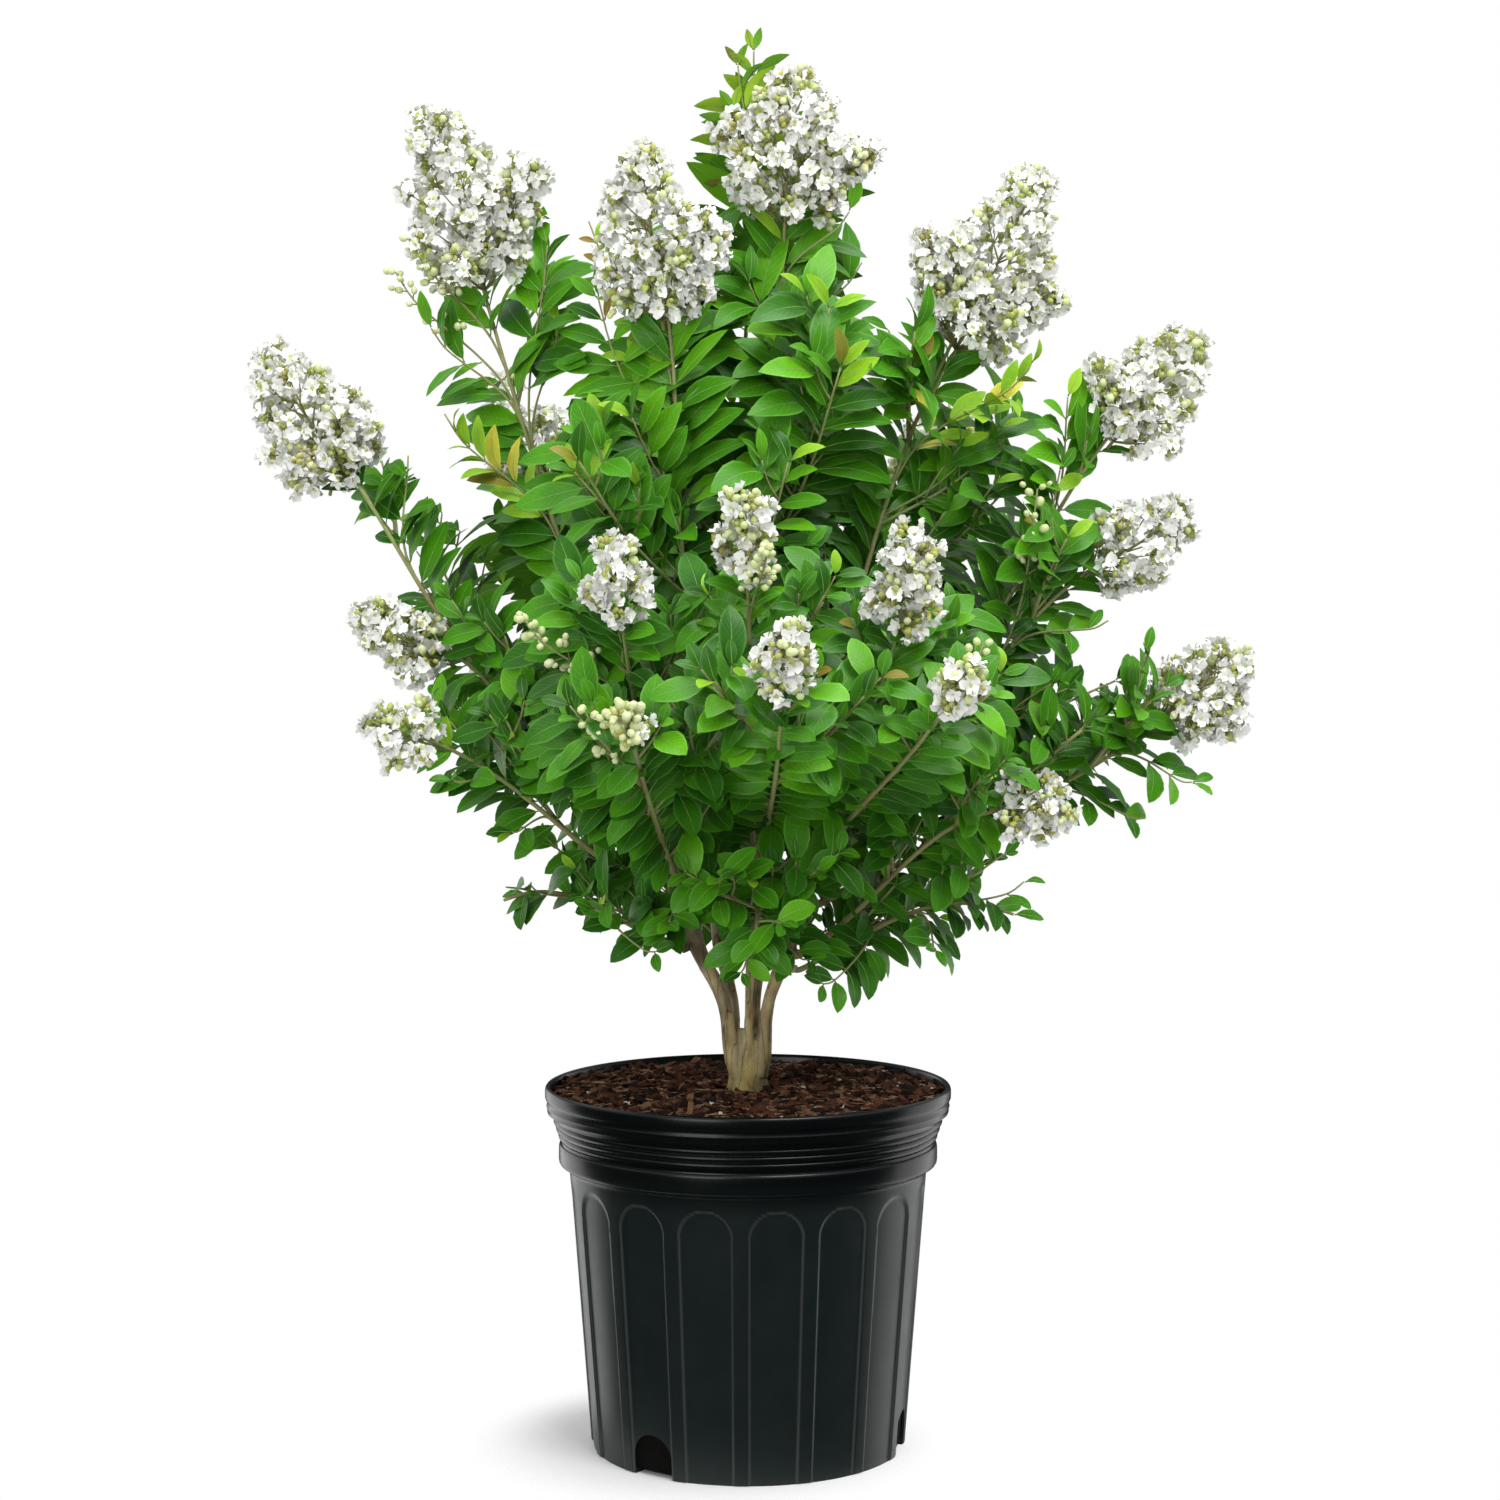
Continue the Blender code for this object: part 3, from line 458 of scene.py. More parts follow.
# foot x and y, azimuth, lean, radius, and the mass it leads to
stemPlan = {
    "stem_left": ((-0.0068, -0.0050), 184, 17, 0.0062, "upper_left"),
    "stem_right": ((0.0078, -0.0045), -10, 14, 0.0060, "upper_right"),
    "stem_middle": ((0.0050, 0.0080), 60, 5, 0.0055, "top"),
    "stem_back": ((-0.0080, 0.0090), 125, 16, 0.0055, "back_top"),
}

# stem, height on it, tip, lean of the tip, and the bloom's length and width
massPlan = {
    "top": ("stem_middle", None, (0.030, -0.020, 0.953), 4, (0.105, 0.100)),
    "upper_left": ("stem_left", None, (-0.216, -0.010, 0.929), 15, (0.130, 0.095)),
    "upper_right": ("stem_right", None, (0.202, -0.020, 0.884), 28, (0.135, 0.095)),
    "back_top": ("stem_back", None, (-0.060, 0.140, 0.850), 22, (0.110, 0.090)),
    "crest": ("stem_middle", 0.500, (0.004, 0.045, 0.920), 3, None),
    "upper_middle": ("stem_middle", 0.462, (-0.071, -0.100, 0.888), 16, (0.115, 0.088)),
    "left": ("stem_left", 0.470, (-0.333, -0.030, 0.761), 36, (0.105, 0.088)),
    "right": ("stem_right", 0.460, (0.309, -0.030, 0.774), 41, (0.095, 0.080)),
    "left_middle": ("stem_left", 0.420, (-0.270, -0.060, 0.583), 68, (0.075, 0.064)),
    "right_middle": ("stem_right", 0.415, (0.312, -0.040, 0.650), 64, (0.080, 0.068)),
    "left_low": ("stem_left", 0.385, (-0.250, -0.140, 0.512), 72, (0.055, 0.054)),
    "right_low": ("stem_right", 0.378, (0.350, -0.010, 0.555), 52, (0.080, 0.074)),
    "right_lowest": ("stem_right", 0.346, (0.222, -0.140, 0.449), 92, (0.058, 0.056)),
    "front_left": ("stem_left", 0.430, (-0.082, -0.235, 0.628), 34, (0.062, 0.052)),
    "front_middle": ("stem_middle", 0.432, (-0.002, -0.240, 0.660), 28, (0.070, 0.048)),
    "front_right": ("stem_right", 0.435, (0.106, -0.225, 0.634), 32, (0.078, 0.060)),
    "front_low": ("stem_middle", 0.390, (0.022, -0.325, 0.572), 44, (0.055, 0.050)),
    "front_low_left": ("stem_left", 0.372, (-0.074, -0.290, 0.525), 56, (0.040, 0.036)),
    "front_low_right": ("stem_right", 0.398, (0.135, -0.290, 0.548), 58, (0.048, 0.042)),
    "back_left": ("stem_back", 0.480, (-0.190, 0.200, 0.765), 36, (0.100, 0.084)),
    "back_right": ("stem_middle", 0.470, (0.165, 0.205, 0.745), 36, (0.100, 0.084)),
    "back_middle": ("stem_back", 0.430, (-0.005, 0.270, 0.660), 44, (0.090, 0.078)),
    "back_low_left": ("stem_back", 0.395, (-0.205, 0.255, 0.550), 60, (0.080, 0.070)),
    "back_low_right": ("stem_middle", 0.385, (0.215, 0.250, 0.530), 60, (0.080, 0.070)),
    "back_low": ("stem_back", 0.360, (0.010, 0.335, 0.500), 68, (0.070, 0.060)),
    "skirt_left": ("stem_left", 0.350, (-0.165, -0.055, 0.385), 112, None),
    "skirt_right": ("stem_right", 0.335, (0.180, -0.050, 0.375), 112, None),
    "skirt_front": ("stem_middle", 0.350, (0.005, -0.160, 0.370), 112, None),
    "skirt_back": ("stem_back", 0.345, (-0.010, 0.175, 0.370), 112, None),
}

shootPlan = {"count": 4, "first": 0.08, "spread": 0.19, "share": 0.50, "more": 0.030}
twigPlan = {"count": 5, "first": 0.12, "spread": 0.18, "share": 0.34, "more": 0.022}
spurPlan = {"every": 0.030, "from": 0.325, "lengths": (0.034, 0.058), "angle": 58, "room": 0.004}

# mass, share of its leader, tip, and what it carries
extraPlan = [
    ("upper_left", 0.62, (-0.239, -0.030, 0.810), "buds"),
    ("upper_left", 0.72, (-0.229, -0.030, 0.832), "buds"),
    ("upper_left", 0.34, (-0.203, -0.060, 0.712), "young"),
    ("upper_middle", 0.70, (-0.107, -0.045, 0.842), "bronze"),
    ("upper_right", 0.55, (0.187, -0.085, 0.743), "young"),
    ("crest", 0.97, (0.004, 0.030, 0.970), "crest"),
    ("crest", 0.86, (-0.007, 0.030, 0.960), "crest"),
    ("crest", 0.80, (-0.010, 0.030, 0.928), "crest"),
    ("right_middle", 0.40, (0.190, -0.100, 0.660), "buds"),
    ("right_low", 0.62, (0.264, -0.080, 0.552), "plain"),
    ("front_left", 0.45, (-0.139, -0.205, 0.575), "buds"),
    ("front_low_left", 0.60, (-0.098, -0.262, 0.520), "buds"),
    ("front_low_right", 0.66, (0.142, -0.262, 0.560), "buds"),
    ("front_middle", 0.74, (0.012, -0.246, 0.618), "buds"),
    ("right_low", 0.50, (0.272, -0.030, 0.439), "plain"),
    ("right_low", 0.72, (0.305, -0.020, 0.463), "plain"),
    ("skirt_right", 0.55, (0.186, -0.060, 0.398), "plain"),
    ("skirt_right", 0.30, (0.050, -0.100, 0.334), "plain"),
    ("skirt_front", 0.45, (-0.004, -0.125, 0.345), "plain"),
    ("skirt_front", 0.25, (0.040, -0.100, 0.350), "plain"),
    ("skirt_left", 0.40, (-0.062, -0.090, 0.354), "plain"),
    ("left_low", 0.60, (-0.192, -0.120, 0.470), "plain"),
    ("upper_left", 0.52, (-0.128, -0.030, 0.775), "plain"),
    ("upper_left", 0.50, (-0.136, -0.030, 0.828), "plain"),
    ("upper_left", 0.60, (-0.215, -0.030, 0.772), "plain"),
    ("upper_middle", 0.35, (-0.100, -0.060, 0.789), "plain"),
    ("top", 0.62, (0.078, -0.010, 0.819), "plain"),
    ("top", 0.78, (0.069, -0.020, 0.852), "plain"),
    ("right", 0.58, (0.215, -0.050, 0.724), "plain"),
    ("right", 0.72, (0.228, -0.050, 0.695), "plain"),
    ("right_middle", 0.55, (0.243, -0.050, 0.574), "plain"),
    ("right_middle", 0.40, (0.210, -0.050, 0.675), "plain"),
    ("left_low", 0.35, (-0.157, -0.080, 0.433), "plain"),
    ("left", 0.55, (-0.231, -0.030, 0.686), "plain"),
    ("skirt_right", 0.55, (0.125, -0.080, 0.355), "plain"),
    ("skirt_left", 0.60, (-0.146, -0.070, 0.397), "plain"),
]
branchPlan = {
    "angle": 42,
    "curl": 0.4,
    "clear": 0.022,
    "twigClear": 0.006,
    "limbClear": 0.008,
    "upright": 0.80,
    "bloomClear": 0.60,
    "ownBloomClear": 0.48,
    "lowest": 0.285,
}


def leaningWay(azimuth, lean):
    azimuth, lean = math.radians(azimuth), math.radians(lean)
    flat = math.sin(lean)
    return Vector((flat * math.cos(azimuth), flat * math.sin(azimuth), math.cos(lean)))


def limbPath(foot, rise, mass):
    _, _, tip, lean, bloom = massPlan[mass]
    end = Vector(tip)
    outward = end - foot
    arrive = leaningWay(math.degrees(math.atan2(outward.y, outward.x)), lean)
    if bloom:
        end -= arrive * bloom[0] * (1 - limbPlan["bloomSink"])
    handle = limbPlan["handle"] * (end - foot).length
    return interpolate_bezier(foot, foot + rise * handle, end - arrive * handle, end, limbPlan["points"])


def pathLengths(path):
    runs = [(b - a).length for a, b in zip(path, path[1:])]
    return np.concatenate([[0], np.cumsum(runs)])


def framesAlong(path):
    # across, upwards and onwards at each point
    runs = [(b - a).normalized() for a, b in zip(path, path[1:])]
    onward = [runs[0], *((a + b).normalized() for a, b in zip(runs, runs[1:])), runs[-1]]
    across = upward.cross(runs[0])
    frames = []
    for way in onward:
        across = (across - way * across.dot(way)).normalized()
        frames.append(Matrix((across, way.cross(across), way)).transposed())
    return frames


def pointAlong(path, length):
    lengths = pathLengths(path)
    run = int(np.clip(np.searchsorted(lengths, length) - 1, 0, len(path) - 2))
    share = (length - lengths[run]) / (lengths[run + 1] - lengths[run])
    return path[run].lerp(path[run + 1], share), framesAlong(path)[run + (share > 0.5)]


def faceWay(turnFrame, face):
    turn = math.radians(30 + 120 * face)
    return turnFrame @ Vector((math.cos(turn), math.sin(turn), 0))


def facesToUse(turnFrame, number):
    turn = number % 3 if turnFrame.col[2].z > branchPlan["upright"] else 0
    return turn, (turn + 1) % 3


def splitPath(path, share):
    run = round(share * (len(path) - 2))
    middle = (path[run] + path[run + 1]) / 2
    way = (path[run + 1] - path[run]).normalized()
    return [*path[: run + 1], middle], [middle + way * limbPlan["gap"], *path[run + 1:]]


def splitAtHeight(path, height):
    run = next(i for i in range(len(path) - 1) if path[i + 1].z > height)
    share = (height - path[run].z) / (path[run + 1].z - path[run].z)
    middle = path[run].lerp(path[run + 1], share)
    way = (path[run + 1] - path[run]).normalized()
    return [*path[: run + 1], middle], [middle + way * limbPlan["gap"], *path[run + 1:]]


def boughPath(mass, stemPath, stemRadii):
    _, height, tip, _, _ = massPlan[mass]
    below, above = splitAtHeight(stemPath, height)
    centre = below[-1]
    way = (above[1] - centre).normalized()
    share = pathLengths(below)[-1] / pathLengths(stemPath)[-1]
    radius = stemRadii[0] + (stemRadii[1] - stemRadii[0]) * share
    outward = Vector(tip) - centre
    outward = (outward - way * outward.dot(way)).normalized()
    foot = centre + outward * (radius + limbPlan["gap"])
    knee = foot + outward * limbPlan["collar"]
    rise = (outward + way * 0.8).normalized()
    return centre, [foot, *limbPath(knee, rise, mass)]


def sideShoots(leader, plan):
    whole = pathLengths(leader)[-1]
    angle = math.radians(branchPlan["angle"])
    for number in range(plan["count"]):
        station = whole * (plan["first"] + plan["spread"] * number)
        foot, turnFrame = pointAlong(leader, station)
        onward = turnFrame.col[2]
        side = faceWay(turnFrame, facesToUse(turnFrame, number)[number % 2])
        heading = onward * math.cos(angle) + side * math.sin(angle)
        length = plan["more"] + plan["share"] * (whole - station)
        middle = foot + heading * length / 2
        tip = middle + (heading + onward * branchPlan["curl"]).normalized() * length / 2
        yield [foot, middle, tip]


# openings that show sky from the front, where they cross the pot's own plane: x, z and radius
skyPlan = [
    (-0.204, 0.409, 0.026), (-0.038, 0.960, 0.023), (-0.284, 0.613, 0.022), (-0.233, 0.712, 0.021),
    (-0.192, 0.378, 0.021), (0.093, 0.844, 0.020), (-0.252, 0.752, 0.020), (-0.248, 0.608, 0.018),
    (0.244, 0.554, 0.016), (0.096, 0.819, 0.016), (-0.111, 0.866, 0.015), (-0.222, 0.688, 0.014),
    (0.296, 0.556, 0.013), (-0.211, 0.669, 0.013), (0.219, 0.654, 0.011), (0.222, 0.420, 0.011),
    (0.175, 0.396, 0.011), (-0.290, 0.752, 0.011), (0.248, 0.673, 0.011), (-0.122, 0.853, 0.010),
    (-0.291, 0.652, 0.010), (0.214, 0.756, 0.010), (-0.195, 0.655, 0.010), (-0.154, 0.405, 0.010),
    (-0.161, 0.725, 0.010), (-0.230, 0.522, 0.009), (-0.150, 0.726, 0.009), (0.293, 0.601, 0.009),
    (-0.128, 0.362, 0.009), (0.213, 0.739, 0.008), (-0.161, 0.764, 0.009), (0.238, 0.531, 0.008),
    (-0.134, 0.326, 0.037), (-0.084, 0.325, 0.017), (0.128, 0.321, 0.016), (-0.232, 0.445, 0.015),
    (0.198, 0.353, 0.012), (0.217, 0.418, 0.011), (0.168, 0.346, 0.011), (0.096, 0.791, 0.011),
    (-0.281, 0.632, 0.010), (-0.168, 0.399, 0.010), (0.196, 0.406, 0.010), (0.302, 0.552, 0.010),
    (-0.241, 0.620, 0.010), (0.229, 0.425, 0.009), (-0.100, 0.348, 0.009), (-0.288, 0.748, 0.009),
    (0.313, 0.554, 0.009), (-0.104, 0.867, 0.009), (0.278, 0.658, 0.009), (-0.234, 0.519, 0.008),
    (-0.135, 0.719, 0.008), (-0.173, 0.749, 0.008), (-0.269, 0.635, 0.008), (0.302, 0.610, 0.008),
    (-0.210, 0.715, 0.008), (0.256, 0.587, 0.008), (0.206, 0.411, 0.008), (-0.204, 0.434, 0.008),
    (-0.141, 0.410, 0.008), (0.197, 0.722, 0.008), (-0.181, 0.771, 0.007), (0.244, 0.668, 0.007),
    (-0.058, 0.931, 0.020), (0.304, 0.559, 0.014), (0.249, 0.425, 0.013), (0.226, 0.418, 0.013),
    (-0.244, 0.781, 0.012), (0.296, 0.599, 0.011), (0.268, 0.570, 0.010), (0.290, 0.436, 0.010),
    (0.221, 0.655, 0.010), (-0.230, 0.522, 0.009), (0.277, 0.658, 0.009), (-0.146, 0.727, 0.008),
    (0.287, 0.660, 0.008), (-0.102, 0.866, 0.008), (0.108, 0.813, 0.008), (-0.173, 0.749, 0.010),
    (-0.141, 0.360, 0.008), (-0.181, 0.771, 0.009), (0.289, 0.549, 0.008), (-0.192, 0.650, 0.008),
    (0.111, 0.841, 0.008), (0.197, 0.721, 0.008), (-0.251, 0.698, 0.008), (0.170, 0.385, 0.008),
]
eye = Vector((0.0014, -2.0, 0.572))


def hidesSky(samples, share=1.0):
    depth = -eye.y / (samples[:, 1] - eye.y)
    across = eye.x + (samples[:, 0] - eye.x) * depth
    height = eye.z + (samples[:, 2] - eye.z) * depth
    for x, z, radius in skyPlan:
        if (np.hypot(across - x, height - z) < radius * share).any():
            return True
    return False


def segmentDistances(points, starts, ends):
    # every point to every segment
    points = np.asarray(points)[:, None]
    runs = ends - starts
    along = ((points - starts) * runs).sum(axis=2) / (runs * runs).sum(axis=1)
    nearest = starts + np.clip(along, 0, 1)[..., None] * runs
    return np.linalg.norm(points - nearest, axis=2)


def segmentsOf(paths):
    starts = [p for path in paths for p in path[:-1]]
    ends = [p for path in paths for p in path[1:]]
    return np.array(starts, float), np.array(ends, float)


def growLimbs():
    # stems from inside the trunk, boughs from the stems, and the leaders that carry the foliage
    limbs, leaders, stems = [], {}, {}
    for name, (foot, azimuth, lean, radius, mass) in stemPlan.items():
        start = Vector((*foot, limbPlan["soilTop"] + limbPlan["stemFoot"]))
        path = limbPath(start, leaningWay(azimuth, lean), mass)
        stub, above = splitAtHeight(path, limbPlan["stubHeight"])
        stem, leaders[mass] = splitPath(above, limbPlan["stemShare"])
        stems[name] = (stem, (radius, limbPlan["stemTip"]))
        limbs.append(([*stub[:-1], *stem], (radius, radius, limbPlan["stemTip"])))
    plain = [stems[name] for name in stems]
    for mass, (stem, height, *_) in massPlan.items():
        if height is None:
            continue
        centre, path = boughPath(mass, *stems[stem])
        if mass.startswith("skirt"):
            leaders[mass] = path
            limbs.append(([centre, *path[:2]], (0.0026, 0.0026)))
            continue
        bough, leaders[mass] = splitPath(path, limbPlan["boughShare"])
        plain.append((bough, limbPlan["boughRadii"]))
        limbs.append(([centre, *bough], limbPlan["boughRadii"]))
    return limbs, plain, leaders


limbs, plainLimbs, leaders = growLimbs()
blooms = {}
for mass, leader in leaders.items():
    if massPlan[mass][4]:
        way = (leader[-1] - leader[-2]).normalized()
        length, width = massPlan[mass][4]
        blooms[mass] = (Vector(massPlan[mass][2]) - way * length, way, length, width)

limbStarts, limbEnds = segmentsOf([path for path, _ in plainLimbs])
limbRadii = np.array([radii[0] for path, radii in plainLimbs for _ in path[1:]])
bloomNames = list(blooms)
bloomStarts = np.array([base + way * width * 0.4 for base, way, length, width in blooms.values()])
bloomEnds = np.array([base + way * (length - width * 0.3) for base, way, length, width in blooms.values()])
bloomWidths = np.array([width for *_, width in blooms.values()])


def clearOfLimbs(samples, margin):
    return bool((segmentDistances(samples, limbStarts, limbEnds) > limbRadii + margin).all())


def clearOfBlooms(mass, samples, share=1.0):
    room = np.array([
        branchPlan["ownBloomClear" if name == mass else "bloomClear"] for name in bloomNames
    ])
    gaps = segmentDistances(samples, bloomStarts, bloomEnds)
    return bool((gaps > bloomWidths * room * share).all())


def growShoots():
    # side shoots that keep clear of the other masses, then finer twigs off both
    shoots = {mass: [leader] for mass, leader in leaders.items()}

    def gapToOthers(mass, samples):
        others = [path for name, paths in shoots.items() if name != mass for path in paths]
        return segmentDistances(samples, *segmentsOf(others)).min()

    def hasRoom(mass, shoot, gap):
        foot, middle, tip = shoot
        samples = np.array([foot.lerp(middle, 0.5), middle, middle.lerp(tip, 0.5), tip])
        return (
            samples[:, 2].min() > branchPlan["lowest"]
            and not hidesSky(samples)
            and gapToOthers(mass, samples) > gap
            and clearOfLimbs(samples, branchPlan["limbClear"])
            and clearOfBlooms(mass, samples)
        )

    for mass, leader in leaders.items():
        shoots[mass] += [s for s in sideShoots(leader, shootPlan) if hasRoom(mass, s, branchPlan["clear"])]
    twigs = {mass: [] for mass in leaders}
    for mass, paths in shoots.items():
        for path in paths:
            twigs[mass] += [
                s for s in sideShoots(path, twigPlan) if hasRoom(mass, s, branchPlan["twigClear"])
            ]
    return shoots, twigs


suckerPath = [Vector(point) for point in (
    (0.001, -0.002, 0.262), (0.001, -0.010, 0.310), (0.003, -0.019, 0.360), (0.005, -0.034, 0.412),
    (0.003, -0.056, 0.462), (-0.004, -0.084, 0.505),
)]


def growSpurs(taken):
    # short leafy spurs on the stems and boughs, wherever there is room
    spurs = []
    starts, ends = segmentsOf(taken)
    for path in [*(limb for limb, _ in plainLimbs), suckerPath]:
        whole = pathLengths(path)[-1]
        for number in range(int(whole / spurPlan["every"])):
            foot, turnFrame = pointAlong(path, spurPlan["every"] * (number + 0.5))
            if foot.z < spurPlan["from"]:
                continue
            for face in (number % 3, (number + 1) % 3):
                side, onward = faceWay(turnFrame, face), turnFrame.col[2]
                angle = math.radians(spurPlan["angle"])
                heading = onward * math.cos(angle) + side * math.sin(angle)
                length = spurPlan["lengths"][(number + face) % 2]
                middle = foot + heading * length / 2
                tip = middle + (heading + onward * 0.3).normalized() * length / 2
                samples = np.array([foot.lerp(middle, 0.6), middle, tip])
                if hidesSky(samples):
                    continue
                if clearOfLimbs(samples, spurPlan["room"]) and clearOfBlooms(None, samples):
                    if segmentDistances(samples, starts, ends).min() > spurPlan["room"]:
                        spurs.append([foot, middle, tip])
    return spurs


def growExtras():
    extras = []
    for mass, share, tip, kind in extraPlan:
        whole = pathLengths(leaders[mass])[-1]
        foot, turnFrame = pointAlong(leaders[mass], whole * share)
        reach = (Vector(tip) - foot).length
        bend = foot + turnFrame.col[2] * reach * 0.4
        arrive = Vector(tip) - (upward + (Vector(tip) - foot).normalized()) * reach * 0.15
        extras.append((interpolate_bezier(foot, bend, arrive, Vector(tip), 6), mass, kind))
    return extras


shoots, twigs = growShoots()
spurs = growSpurs([path for paths in [*shoots.values(), *twigs.values()] for path in paths])
extras = growExtras()
print("crown grown:", sum(map(len, shoots.values())), "shoots and", sum(map(len, twigs.values())), "twigs")


def smoothPath(path, steps):
    # a curve through the points of a path
    path = [2 * path[0] - path[1], *path, 2 * path[-1] - path[-2]]
    finer = []
    for a, b, c, d in zip(path, path[1:], path[2:], path[3:]):
        for step in range(steps):
            t = step / steps
            finer.append(
                0.5 * ((2 * b) + (c - a) * t + (2 * a - 5 * b + 4 * c - d) * t * t
                       + (3 * b - a - 3 * c + d) * t * t * t)
            )
    return [*finer, path[-2]]


def tubeArrays(path, radii, sides):
    # rings round the path, closed at both ends
    lengths = pathLengths(path)
    sizes = np.interp(lengths / lengths[-1], np.linspace(0, 1, len(radii)), radii)
    turns = np.arange(sides) * math.tau / sides
    circle = np.stack([np.cos(turns), np.sin(turns), np.zeros(sides)])
    points = [
        (np.array(turnFrame) @ circle * size).T + np.array(point)
        for point, turnFrame, size in zip(path, framesAlong(path), sizes)
    ]
    faces = [
        (row * sides + side, row * sides + (side + 1) % sides,
         (row + 1) * sides + (side + 1) % sides, (row + 1) * sides + side)
        for row in range(len(path) - 1) for side in range(sides)
    ]
    faces += [tuple(range(sides))[::-1], tuple(range((len(path) - 1) * sides, len(path) * sides))]
    return np.concatenate(points), faces


# bark: trunk, stems and boughs grown into one skin, with its peeling strips in relief

barkPlan = {
    "voxel": 0.00096,
    "strip": (130.0, 14.0),
    "stripDepth": 0.00050,
    "grain": (900.0, 90.0),
    "grainDepth": 0.00010,
    "gather": (0.258, 0.350, 0.27),
    "suckerRadii": (0.0044, 0.0036, 0.0022),
}


def trunkArrays():
    soil = limbPlan["soilTop"] - 0.002
    heights = [h for h, _ in limbPlan["flare"]]
    radii = [r for _, r in limbPlan["flare"]]
    lean = limbPlan["trunkLean"]
    rows = np.linspace(0, heights[-1] + 0.022, 16)
    path = [Vector((lean[0] * h, lean[1] * h, soil + h)) for h in rows]
    return tubeArrays(path, np.interp(rows, [*heights, rows[-1]], [*radii, 0.0085]), 24)


def makeBark(plan):
    parts = [trunkArrays()]
    parts += [tubeArrays(smoothPath(path, 4), radii, 14) for path, radii in limbs]
    parts.append(tubeArrays(smoothPath(suckerPath, 5), plan["suckerRadii"], 12))
    piece = joinedMesh("bark_limbs", parts, barkLook())
    remesh = piece.modifiers.new("grown together", "REMESH")
    remesh.mode = "VOXEL"
    remesh.voxel_size = plan["voxel"]
    remesh.use_smooth_shade = True
    applyModifier(piece, remesh)
    points = pointsOf(piece.data)
    normals = np.empty_like(points).ravel()
    piece.data.vertices.foreach_get("normal", normals)
    normals = normals.reshape(-1, 3)
    flat, tall = plan["strip"]
    fineFlat, fineTall = plan["grain"]
    peel = np.array([noise.noise(Vector((x * flat, y * flat, z * tall))) for x, y, z in points])
    grain = np.array([noise.noise(Vector((x * fineFlat, y * fineFlat, z * fineTall))) for x, y, z in points])
    raised = np.clip((peel + 0.05) / 0.12, 0, 1)
    lift = plan["stripDepth"] * (raised - 0.5) + plan["grainDepth"] * grain
    points += normals * lift[:, None]
    low, high, gather = plan["gather"]  # the stems stand closer together between the soil and the first boughs
    rise = np.clip((points[:, 2] - low) / (high - low), 0, 1)
    points[:, 0] *= 1 - gather * np.sin(math.pi * rise) ** 2
    setPoints(piece.data, points)
    mask = piece.data.attributes.new("peel", "FLOAT", "POINT")
    mask.data.foreach_set("value", raised.astype(np.float32))
    piece.data.shade_smooth()
    names = [n for n in allNodes if n == "trunk" or n.startswith(("stem_", "bough_"))]
    finishPiece(piece, names)


def barkLook():
    # cream flakes over grey-brown, dark where a flake ends, an olive foot, and greener wood above
    look = {
        "colour": (0.62, 0.54, 0.35), "drift": (0.21, 0.165, 0.105), "roughness": 0.72, "patch": 34.0,
        "grain": 1100.0, "speckle": 0.30, "relief": 0.0002, "bump": 0.6, "specular": 0.25,
    }
    material = newMaterial("peelingBark", look)
    nodes, links = material.node_tree.nodes, material.node_tree.links
    shader = nodes["Principled BSDF"]
    peel = nodes.new("ShaderNodeAttribute")
    peel.attribute_name = "peel"
    coords = nodes.new("ShaderNodeTexCoord").outputs["Object"]
    stretch = nodes.new("ShaderNodeMapping")
    stretch.inputs["Scale"].default_value = (170, 170, 20)
    links.new(coords, stretch.inputs["Vector"])
    streak = noiseNode(nodes, links, stretch.outputs["Vector"], 1.0, 5.0, 0.6)
    streaks = rampNode(
        nodes, links, streak.outputs["Fac"],
        [(0.32, (0.10, 0.07, 0.04)), (0.42, (0.66, 0.58, 0.45)), (0.62, (1.0, 1.0, 0.96))],
    )
    streaked = mixNode(nodes, links, "MULTIPLY", 0.7, colourSource(material), streaks.outputs["Color"])
    strips = rampNode(
        nodes, links, peel.outputs["Fac"],
        [(0.0, (1.15, 1.08, 0.86)), (0.30, (0.13, 0.09, 0.05)), (0.55, (0.95, 0.95, 0.92))],
    )
    flaked = mixNode(nodes, links, "MULTIPLY", 0.85, streaked, strips.outputs["Color"])
    height = nodes.new("ShaderNodeSeparateXYZ")
    links.new(coords, height.inputs["Vector"])
    foot = nodes.new("ShaderNodeMapRange")
    foot.inputs["From Min"].default_value = 0.284
    foot.inputs["From Max"].default_value = 0.250
    foot.inputs["To Max"].default_value = 0.8
    links.new(height.outputs["Z"], foot.inputs["Value"])
    footed = mixNode(nodes, links, "MULTIPLY", foot.outputs["Result"], flaked, (0.74, 0.74, 0.42))
    above = nodes.new("ShaderNodeMapRange")
    above.inputs["From Min"].default_value = 0.36
    above.inputs["From Max"].default_value = 0.46
    above.inputs["To Max"].default_value = 0.75
    links.new(height.outputs["Z"], above.inputs["Value"])
    links.new(
        mixNode(nodes, links, "MIX", above.outputs["Result"], footed, (0.33, 0.36, 0.15)),
        shader.inputs["Base Color"],
    )
    return material


print("bark")
makeBark(barkPlan)


# soil: a bumpy surface under loose bark chips, straws and a few white grains

soilPlan = {
    "radius": 0.1358,
    "side": [(0.1284, 0.2245), (0.1272, 0.2010), (0.1201, 0.1890), (0.1062, 0.0039)],
    "edge": 0.2440,
    "middle": 0.2455,
    "rings": 34,
    "steps": 160,
    "bump": 0.0020,
    "seed": 31,
    "chips": 2900,
    "straws": 420,
    "grains": 28,
    "stemRoom": 0.019,
}


def soilLevel(radius):
    share = radius / soilPlan["radius"]
    return soilPlan["middle"] + (soilPlan["edge"] - soilPlan["middle"]) * share * share


